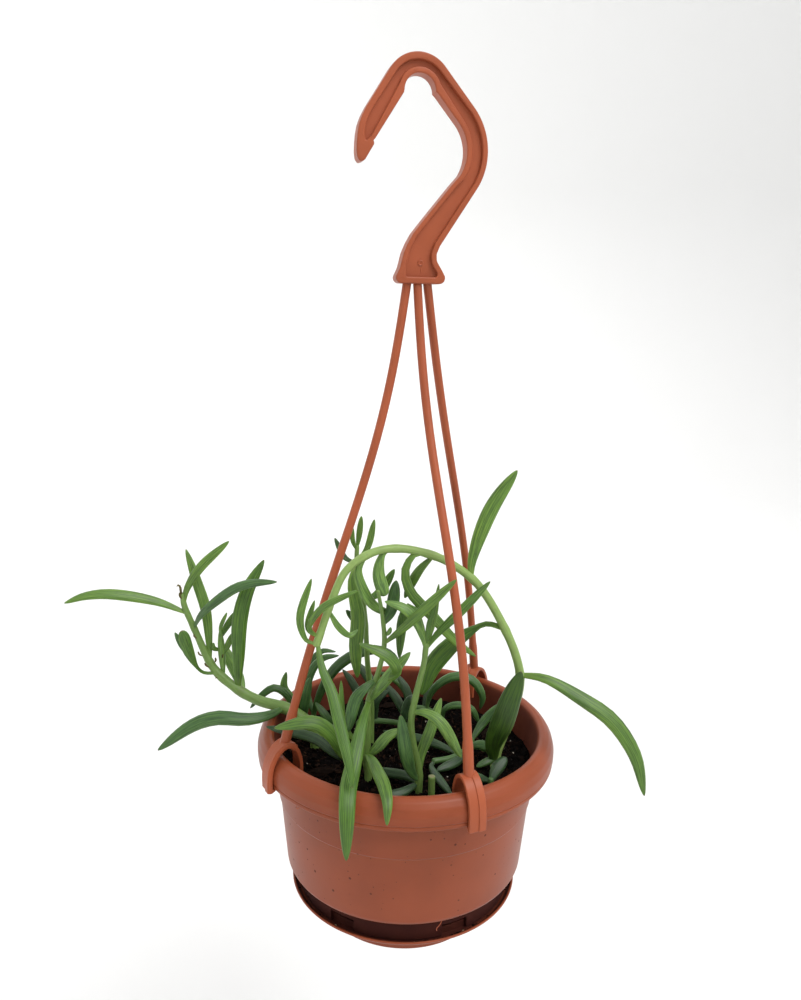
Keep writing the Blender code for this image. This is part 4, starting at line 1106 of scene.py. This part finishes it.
class SoilSettings(bpy.types.PropertyGroup):
    # The mix's colour is far darker than real wet mix: painted shade for the shade deep in the pot, over the
    # mix's own dark colour.
    colour: hue("Potting mix", "Colour of the potting mix", (0.0022, 0.0016, 0.0014))
    fibre: hue("Fibres", "Colour of the fibres in the mix", (0.02, 0.01, 0.0065))
    crumbs: whole("Crumbs", "How many crumbs lie on the mix", 4800, 0, 8000)
    fibres: whole("Fibres", "How many fibres lie on the mix", 420, 0, 800)
    seed: IntProperty(name="Seed", description="Another number scatters them another way", default=7, min=0)


class StageSettings(bpy.types.PropertyGroup):
    drop: FloatProperty(name="Floor drop", description="How far the floor lies under the hook's seat",
                        default=0.62, min=0.41, unit="LENGTH", subtype="DISTANCE")
    paper: hue("Paper", "Colour of the pale paper floor, which sweeps up into a wall all round",
               (0.8, 0.8, 0.795))
    sky: amount("Ceiling light", "Strength of the even light from above", 0.78)
    key: amount("Main light", "Strength of the main soft light", 2.5)
    back: amount("Back light", "Strength of the weak light from behind", 0.6)
    spread: FloatProperty(name="Light spread", description="How wide the soft lights are",
                          default=math.radians(42), min=0, max=math.pi, unit="ROTATION", subtype="ANGLE")
    lens: FloatProperty(name="Lens", description="Length of the camera's lens in millimetres",
                        default=30.6, min=1, unit="CAMERA")


def settings(context, part):
    """One of the groups of settings, by its name."""
    return getattr(context.scene, "fishhooks_" + part)


class FISHHOOKS_OT_pot(bpy.types.Operator):
    """Builds the pot with its collar, drain holes and slotted foot ring, and the flash its mould left"""

    bl_idname = "fishhooks.pot"
    bl_label = "Pot"

    def execute(self, context):
        plastic = settings(context, "plastic")

        def dimple(r, angle, z):
            """A soft sink mark on the front of the collar."""
            if r < COLLAR_R - 1 or z < LIP_Z:
                return 0
            off = math.degrees(angle) - 267
            return -0.3 * math.exp(-(off / 1.6) ** 2)

        mesh = turned(soften(pot_profile(), 0.7), dimple)
        cutters = [post(*polar(DRAIN_RING_R, a), BASE_Z - 5, FLOOR_Z + 5, DRAIN_R)
                   for a in turns(DRAIN_HOLES)]
        height = SLOT_TOP_Z - FOOT_Z + 2
        for turn in turns(SLOTS):
            a = FIRST_SLOT + turn
            middle = polar(FOOT_R - WALL / 2, a, SLOT_TOP_Z - height / 2)
            cutters.append(block(middle, (6 * WALL, SLOT_WIDTH, height), a))
        link_moulding(carved(mesh, cutters), "pot_shell", plastic, "pot", "used pot plastic",
                      pot_dirt_and_shade(plastic.specks))
        self.flash(plastic)
        return {"FINISHED"}

    def flash(self, plastic):
        """The strand and the tick of plastic that the mould left."""
        skin = Skin()
        for angle, route in FLASH:
            a = math.radians(angle)
            centres = smooth_route([polar(r, a + turn, z) for r, turn, z in route], 4)
            halves = [(0.2, 0.14)] * len(centres)
            skin.loft(centres, halves, [0] * len(centres), Vector(polar(1, a, 0)), 8, plastic.colour)
        finish = plastic_finish("terracotta plastic", plastic)
        link(skin.mesh("flash"), "mould_flash", finish)


class FISHHOOKS_OT_saucer(bpy.types.Operator):
    """Builds the drip saucer and the crumbs that lie in its gutter"""

    bl_idname = "fishhooks.saucer"
    bl_label = "Saucer"

    def execute(self, context):
        plastic = settings(context, "plastic")
        mesh = turned(soften(dish_profile(), 0.5))
        link_moulding(mesh, "drip_dish", plastic, "saucer", "used saucer plastic", dish_dirt_and_shade)
        soil = settings(context, "soil")
        spread = random.Random(soil.seed + 3)
        crumbs = Crumbs()
        for i in range(GUTTER_CRUMBS):
            a = math.radians(spread.uniform(*(GUTTER_HEAP if i < GUTTER_CRUMBS / 2 else (-180, 180))))
            r = spread.uniform(*GUTTER_REACH)
            low = FOOT_Z - FIT + (r - FOOT_R - 0.8) * GUTTER_SLOPE
            size = spread.uniform(0.15, 0.5)
            colour = (0.3, 0.24, 0.15) if i in PALE_CRUMBS else spread.choice((soil.colour, soil.fibre))
            if i == PALE_CRUMBS[-1]:
                a, r, size = math.radians(-125.2), 55.8, 0.5
            turn = Matrix.Rotation(spread.uniform(0, 6), 3, "Z")
            at = place(*polar(r, a, low + size * 0.6))
            crumbs.add(at, size, spread.uniform(1, 2.4), turn, 1, i, colour)
        link(crumbs.mesh("gutter crumbs"), "gutter_crumbs", loose_finish(soil))
        return {"FINISHED"}


class FISHHOOKS_OT_hook(bpy.types.Operator):
    """Builds the hook with its rounded border, sunk faces and gate mark"""

    bl_idname = "fishhooks.hook"
    bl_label = "Hook"

    def execute(self, context):
        plastic = settings(context, "plastic")
        edge = plastic.edge / MM
        outer = soften(hook_outline(), 0.8, True)
        inner = soften(recess_outline(), 0.8, True)
        pieces = [
            plate([outer, inner], HOOK_THICK, edge, Vector(), HOOK_YAW),
            plate([outer], WEB_THICK, 0.1, Vector(), HOOK_YAW),
            self.gate(),
        ]
        link_moulding(gathered(pieces), "hook_blade", plastic, "hanger")
        return {"FINISHED"}

    def gate(self):
        """The small ring and the scratch that the mould's gate left low on the sunk face."""
        bm = bmesh.new()
        rings = []
        profile = [(0, 0.05), (0.45, 0.05), (0.75, 0.4), (1.0, 0.5), (1.25, 0.4), (1.45, -0.2), (0, -0.2)]
        for r, out in profile:
            rings.append([bm.verts.new((r * math.cos(a), -out, r * math.sin(a))) for a in turns(32, r)])
        fill_rings(bm, rings)
        scratch = []
        for v, half in ((-2.2, 0), (-2.4, 0.18), (-4.2, 0.14), (-4.6, 0)):
            ways = turns(6, half)
            scratch.append([bm.verts.new((0.3 + half * math.cos(a), -half * math.sin(a), v)) for a in ways])
        fill_rings(bm, scratch)
        shift = Vector((2.1, -WEB_THICK / 2, -78.5)) * MM
        for vert in bm.verts:
            vert.co = Matrix.Rotation(HOOK_YAW, 3, "Z") @ (vert.co * MM + shift)
        return closed_mesh(bm, "gate")


class FISHHOOKS_OT_rods(bpy.types.Operator):
    """Builds the three rods with the sleeves at their feet"""

    bl_idname = "fishhooks.rods"
    bl_label = "Rods"

    def execute(self, context):
        plastic = settings(context, "plastic")
        skin = Skin()
        level = Vector((math.cos(HOOK_YAW), math.sin(HOOK_YAW), 0))
        for i, (side, angle) in enumerate(CLIP_ANGLES.items()):
            top = level * (ROD_SHIFT + (i - 1) * ROD_SPACING) + Vector((0, 0, ROD_TOP_Z + RIM_DROP))
            foot = clip_top(math.radians(angle))
            route = rod_route(top, foot, ROD_SWAY[side])
            radii = []
            for point in route:
                left = (point - foot).length
                flare = min(1, max(0, (SLEEVE_LENGTH + SLEEVE_FADE / 2 - left) / SLEEVE_FADE))
                radii.append(ROD_R + (SLEEVE_R - ROD_R) * flare)
            skin.loft([route[0], *route, route[-1]], [(0, 0), *((r, r) for r in radii), (0, 0)],
                      [0] * (len(route) + 2), Vector((0, 1, 0)), 24, plastic.colour)
        link_moulding(skin.mesh("rods"), "hanging_rods", plastic, "hanger")
        return {"FINISHED"}


class FISHHOOKS_OT_clips(bpy.types.Operator):
    """Builds the three clips that grip the pot's collar"""

    bl_idname = "fishhooks.clips"
    bl_label = "Rim clips"

    def execute(self, context):
        plastic = settings(context, "plastic")
        pieces = [mesh for angle in CLIP_ANGLES.values() for mesh in clip_meshes(math.radians(angle))]
        link_moulding(gathered(pieces), "rim_clips", plastic, "hanger")
        return {"FINISHED"}


class FISHHOOKS_OT_soil(bpy.types.Operator):
    """Builds the potting mix with its crumbs, fibres and bark"""

    bl_idname = "fishhooks.soil"
    bl_label = "Potting mix"

    def execute(self, context):
        soil = settings(context, "soil")
        self.bed(crumb_finish("potting mix", tuple(soil.colour), tuple(soil.fibre)))
        spread = random.Random(soil.seed)
        self.scatter(soil, spread)
        self.fibres(soil, spread)
        self.bark(soil)
        return {"FINISHED"}

    def bed(self, finish):
        """The lumpy top, row by row from its middle, and the plain plug under it."""
        bm = bmesh.new()
        rings = []
        for row in range(SOIL_ROWS + 1):
            r = SOIL_R * row / SOIL_ROWS
            flat = [polar(r, a) for a in turns(SOIL_SIDES, r)]
            rings.append([bm.verts.new(place(x, y, soil_height(x, y))) for x, y in flat])
        for r in (SOIL_FOOT_R, 0):
            rings.append([bm.verts.new(place(*polar(r, a, FLOOR_Z + FIT))) for a in turns(SOIL_SIDES, r)])
        fill_rings(bm, rings)
        mesh = closed_mesh(bm, "soil bed")
        mesh.shade_smooth()
        link(mesh, "soil_bed", finish, ["soil"])

    def strewn(self, spread, reach):
        """A place picked evenly over the mix."""
        return polar(reach * math.sqrt(spread.random()), spread.uniform(0, math.tau))

    def scatter(self, soil, spread):
        """Crumbs lie thick on the mix: most of them black, some brown, and a few pale flecks."""
        crumbs = Crumbs()
        browns = [tuple(soil.colour), times(soil.colour, 0.6), tuple(soil.fibre), (0.045, 0.022, 0.012)]
        for i in range(soil.crumbs):
            x, y = self.strewn(spread, SOIL_R - 1.5)
            big = i % 14 == 0
            size = spread.uniform(0.8, 1.5) if big else spread.uniform(0.25, 0.7)
            colour = spread.choices(browns, (10, 10, 3, 0 if big else 1))[0]
            if i % 90 == 1:
                size, colour = 0.4, (0.45, 0.4, 0.33)
            turn = Matrix.Rotation(spread.uniform(0, 6.3), 3, "Z")
            turn = turn @ Matrix.Rotation(spread.uniform(-0.8, 0.8), 3, "X")
            at = place(x, y, soil_height(x, y) + 0.3 * size)
            crumbs.add(at, size, spread.uniform(1, 2.2), turn, 1 + big, i, colour)
        link(crumbs.mesh("crumbs"), "soil_crumbs", loose_finish(soil))

    def fibres(self, soil, spread):
        """Fine root fibres, each of which follows the lumps of the mix for a few steps."""
        skin = Skin()
        for _ in range(soil.fibres):
            (x, y), way = self.strewn(spread, SOIL_R - 7), spread.uniform(0, math.tau)
            route = []
            step = spread.uniform(1.0, 2.6)
            for _ in range(5):
                route.append(Vector((x, y, soil_height(x, y) + 0.5 + spread.uniform(0, 0.7))))
                way += spread.uniform(-0.5, 0.5)
                x, y = x + step * math.cos(way), y + step * math.sin(way)
            route = smooth_route(route, 3)
            thick = spread.uniform(0.08, 0.2)
            halves = [(thick, thick * 0.6)] * len(route)
            skin.loft(route, halves, even_shares(len(route)), Vector((0, 0, 1)), 6, soil.fibre)
        finish = crumb_finish("fibre", tuple(soil.fibre), times(soil.fibre, 2.4))
        link(skin.mesh("fibres"), "soil_fibres", finish)

    def bark(self, soil):
        """Flat chips of bark: where each lies, its size, its stretch and its turn."""
        crumbs = Crumbs()
        pieces = [
            ((-41, -22, -15.2), 3.0, 2.4, 0.2),
            ((22, -49, -15.2), 2.4, 2.2, 0.5),
            ((-4, -56, -15.2), 2.0, 2.6, 2.6),
            ((45, 20, -15), 2.8, 2.0, 1.0),
            ((10, 8, -15.2), 2.2, 2.2, 1.9),
            ((-8, 50, -15), 3.0, 2.2, 0.3),
        ]
        for i, (at, size, stretch, angle) in enumerate(pieces):
            turn = Matrix.Rotation(angle, 3, "Z") @ Matrix.Scale(0.5, 3, (0, 0, 1))
            crumbs.add(place(*at), size, stretch, turn, 3, 40 + i, soil.fibre)
        finish = crumb_finish("bark", (0.009, 0.005, 0.0035), (0.035, 0.019, 0.01), 500.0)
        link(crumbs.mesh("bark"), "bark_chips", finish)


class FISHHOOKS_OT_stems(bpy.types.Operator):
    """Builds every stem, with a knuckle at each leaf"""

    bl_idname = "fishhooks.stems"
    bl_label = "Stems"

    def execute(self, context):
        plant = settings(context, "plant")
        finish = stem_finish("stem skin")
        for name, stem in STEMS.items():
            skin = Skin()
            route = smooth_route([(*stem["route"][0][:2], ROOT_Z), *stem["route"]], 8)
            count = max(14, int(sum((b - a).length for a, b in zip(route, route[1:])) / 0.9))
            shares = even_shares(count)
            centres = spaced(route, shares)
            first, last = stem["radii"]
            knots = [nearest(route, Vector(points[0])) for _, points, *_ in stem["leaves"]]
            knots = [at for (at, _), (_, points, *_) in zip(knots, stem["leaves"])
                     if (at - Vector(points[0])).length < STEM_REACH]
            halves, scars = [], []
            for centre, share in zip(centres, shares):
                radius = first + (last - first) * share
                near = sum(math.exp(-((centre - at).length / 2.4) ** 2) for at in knots)
                halves.append(radius * (1 + plant.knuckle * min(1, near)))
                scars.append(min(1.0, 0.45 * near) if name in SCARRED else 0.0)
            cut = name == "cut_stem"
            ahead = (centres[-1] - centres[-2]).normalized()
            for out, width in ((0.0, 0.97), (0.05, 0.8), (0.06, 0.4)) if cut else ((0.35, 0.85), (0.6, 0.55)):
                centres.append(centres[count - 1] + ahead * halves[count - 1] * out)
                halves.append(halves[count - 1] * width)
                scars.append(0.0)
            centres.append(centres[-1] + ahead * 0.05)
            centres.insert(0, centres[0] - Vector((0, 0, 0.05)))
            halves = [halves[0], *halves, 0]
            scars = [0.0, *scars, 0.0]
            colour = getattr(plant, STEM_COLOURS[stem["slot"]])
            skin.loft(centres, [(h, h) for h in halves], even_shares(len(centres)), STEM_FACING, 16, colour,
                      scars=scars, cut=float(cut))
            link(skin.mesh(name), name + "_shoot", finish, [name])
        return {"FINISHED"}


class FISHHOOKS_OT_leaves(bpy.types.Operator):
    """Builds every leaf as a flattened, grooved and pointed fishhook"""

    bl_idname = "fishhooks.leaves"
    bl_label = "Leaves"

    def execute(self, context):
        plant = settings(context, "plant")
        for name, stem in STEMS.items():
            if not stem["leaves"]:
                continue
            finish = leaf_finish("leaf skin " + stem["slot"], 0.4 if stem["slot"] == "leaf_dark" else 0.16)
            skin = Skin()
            stem_route = smooth_route(stem["route"], 2)
            for i, (colour, points, width, *shape) in enumerate(stem["leaves"]):
                shape = [*shape, *(FLATNESS, 0, 0)[len(shape):]]
                self.leaf(skin, plant, stem_route, points, width, shape, getattr(plant, colour), i)
            link(skin.mesh(name), name + "_leaves", finish, [name])
        return {"FINISHED"}

    def leaf(self, skin, plant, stem_route, points, width, shape, colour, number):
        """A leaf starts on its stem's centre line, or out on a side shoot where its first point says so."""
        flatness, stalk, blunt = shape
        start = nearest(stem_route, Vector(points[0]))[0]
        if (start - Vector(points[0])).length > STEM_REACH:
            start = Vector(points[0])
        route = smooth_route([start, *points[1:]], 10)
        shares = end_heavy(plant.stations)
        halves = leaf_halves(shares, width, flatness, stalk, blunt)
        skin.loft(spaced(route, shares), halves, shares, LEAF_FACING, plant.sides, colour, float(number),
                  plant.groove if flatness < 0.95 else 0.0)


class FISHHOOKS_OT_dry_parts(bpy.types.Operator):
    """Builds the dry bracts and the shrivelled bud on the trailing stem"""

    bl_idname = "fishhooks.dry_parts"
    bl_label = "Dry parts"

    def execute(self, context):
        skin = Skin()
        pieces = [
            ([(-95.5, 10.3, 18.5), (-97, 9.6, 19.2), (-98.6, 9, 18.4)], 0.9, 0.3),
            ([(-101.5, 9.6, 24), (-103, 8.8, 25.6), (-103.6, 8.4, 27.2)], 1.0, 0.3),
            ([(-105, 10.2, 30), (-106.5, 9.6, 31.4), (-107, 9.4, 33)], 1.0, 0.3),
            ([(-107.8, 11.6, 39), (-109, 11, 40.4), (-109.2, 10.8, 42)], 0.9, 0.3),
            ([(-98.6, 9.2, 27), (-97.8, 8.4, 28.8), (-98, 8, 30.4)], 1.1, 0.35),
            ([(-114.5, 13.6, 60), (-115.4, 13, 63), (-115.6, 12.6, 66.2), (-116.6, 12.4, 67.4),
              (-117.4, 12.6, 66.2)], 1.3, 0.8),
            ([(-114.6, 13.2, 59), (-115.9, 12.4, 61.5), (-116, 12.2, 63.5)], 1.1, 0.5),
            ([(-96, 14, 27), (-95.2, 12.8, 29), (-94.8, 12.4, 30.6)], 0.9, 0.35),
        ]
        shares = end_heavy(12)
        for i, (points, width, flatness) in enumerate(pieces):
            skin.loft(spaced(smooth_route(points, 8), shares), leaf_halves(shares, width, flatness), shares,
                      LEAF_FACING, 10, (0.1, 0.05, 0.025), float(i))
        finish = crumb_finish("dry skin", (0.1, 0.085, 0.035), (0.24, 0.19, 0.09), 700.0)
        link(skin.mesh("dry bracts"), "dry_bracts", finish)
        return {"FINISHED"}


class FISHHOOKS_OT_stage(bpy.types.Operator):
    """Lays a pale floor and sets the soft lights and the camera"""

    bl_idname = "fishhooks.stage"
    bl_label = "Stage"

    def execute(self, context):
        stage = settings(context, "stage")
        scene = context.scene
        bends = [math.pi / 2 * i / SWEEP_STEPS for i in range(1, SWEEP_STEPS + 1)]
        profile = [(0, 0), (FLOOR_R, 0), *((FLOOR_R + math.sin(a), 1 - math.cos(a)) for a in bends),
                   (FLOOR_R + 1, WALL_TOP)]
        bm = bmesh.new()
        fill_rings(bm, [[bm.verts.new(polar(r, a, z - stage.drop)) for a in turns(FLOOR_SIDES, r)]
                        for r, z in profile])
        sweep = to_mesh(bm, "paper sweep")
        sweep.shade_smooth()
        floor = bpy.data.objects.new("paper_sweep", sweep)
        scene.collection.objects.link(floor)
        paper = Finish("pale paper", stage.paper, 0.9)
        paper.feed({"Roughness": 0.85 + 0.1 * paper.noise(paper.spot(), 40)})
        floor.data.materials.append(paper.material)
        self.light(scene, "main light", stage.key, stage.spread, MAIN_LIGHT_WAY)
        self.light(scene, "back light", stage.back, stage.spread, BACK_LIGHT_WAY)
        scene.world = bpy.data.worlds.new("studio")
        scene.world.use_nodes = True
        sky = scene.world.node_tree.nodes["Background"]
        sky.inputs["Color"].default_value = (1, 1, 1, 1)
        sky.inputs["Strength"].default_value = stage.sky
        scene.view_settings.view_transform = "Standard"
        camera = bpy.data.cameras.new("camera")
        camera.lens = stage.lens
        camera.clip_start = 0.01
        view = bpy.data.objects.new("camera", camera)
        scene.collection.objects.link(view)
        pitch = Matrix.Rotation(math.radians(90 - CAMERA_PITCH), 4, "X")
        roll = Matrix.Rotation(math.radians(CAMERA_ROLL), 4, "Z")
        view.matrix_world = Matrix.Translation(CAMERA_AT) @ pitch @ roll
        scene.camera = view
        return {"FINISHED"}

    def light(self, scene, name, strength, spread, way):
        """A wide soft light that comes from the given way."""
        lamp = bpy.data.lights.new(name, "SUN")
        lamp.energy = strength
        lamp.angle = spread
        obj = bpy.data.objects.new(name, lamp)
        scene.collection.objects.link(obj)
        obj.matrix_world = Vector(way).to_track_quat("Z", "Y").to_matrix().to_4x4()


class FISHHOOKS_PT_panel(bpy.types.Panel):
    """Lists the settings and the pieces"""

    bl_idname = "FISHHOOKS_PT_panel"
    bl_label = "String of fishhooks"
    bl_space_type = "VIEW_3D"
    bl_region_type = "UI"
    bl_category = "Fishhooks"

    def draw(self, context):
        for part in GROUPS:
            box = self.layout.box()
            box.label(text=part.capitalize())
            group = settings(context, part)
            for name in GROUPS[part].__annotations__:
                box.prop(group, name)
        column = self.layout.column(align=True)
        for operator in OPERATORS:
            column.operator(operator.bl_idname)


GROUPS = {"plastic": PlasticSettings, "plant": PlantSettings, "soil": SoilSettings, "stage": StageSettings}
OPERATORS = (
    FISHHOOKS_OT_pot,
    FISHHOOKS_OT_saucer,
    FISHHOOKS_OT_hook,
    FISHHOOKS_OT_rods,
    FISHHOOKS_OT_clips,
    FISHHOOKS_OT_soil,
    FISHHOOKS_OT_stems,
    FISHHOOKS_OT_leaves,
    FISHHOOKS_OT_dry_parts,
    FISHHOOKS_OT_stage,
)


def register():
    for made in (*GROUPS.values(), *OPERATORS, FISHHOOKS_PT_panel):
        bpy.utils.register_class(made)
    for part, group in GROUPS.items():
        setattr(bpy.types.Scene, "fishhooks_" + part, PointerProperty(type=group))


def unregister():
    for part in GROUPS:
        delattr(bpy.types.Scene, "fishhooks_" + part)
    for made in (FISHHOOKS_PT_panel, *reversed(OPERATORS), *GROUPS.values()):
        bpy.utils.unregister_class(made)


def main():
    register()
    bpy.ops.fishhooks.pot()
    bpy.ops.fishhooks.saucer()
    bpy.ops.fishhooks.hook()
    bpy.ops.fishhooks.rods()
    bpy.ops.fishhooks.clips()
    bpy.ops.fishhooks.soil()
    bpy.ops.fishhooks.stems()
    bpy.ops.fishhooks.leaves()
    bpy.ops.fishhooks.dry_parts()
    bpy.ops.fishhooks.stage()


if __name__ == "__main__":
    main()
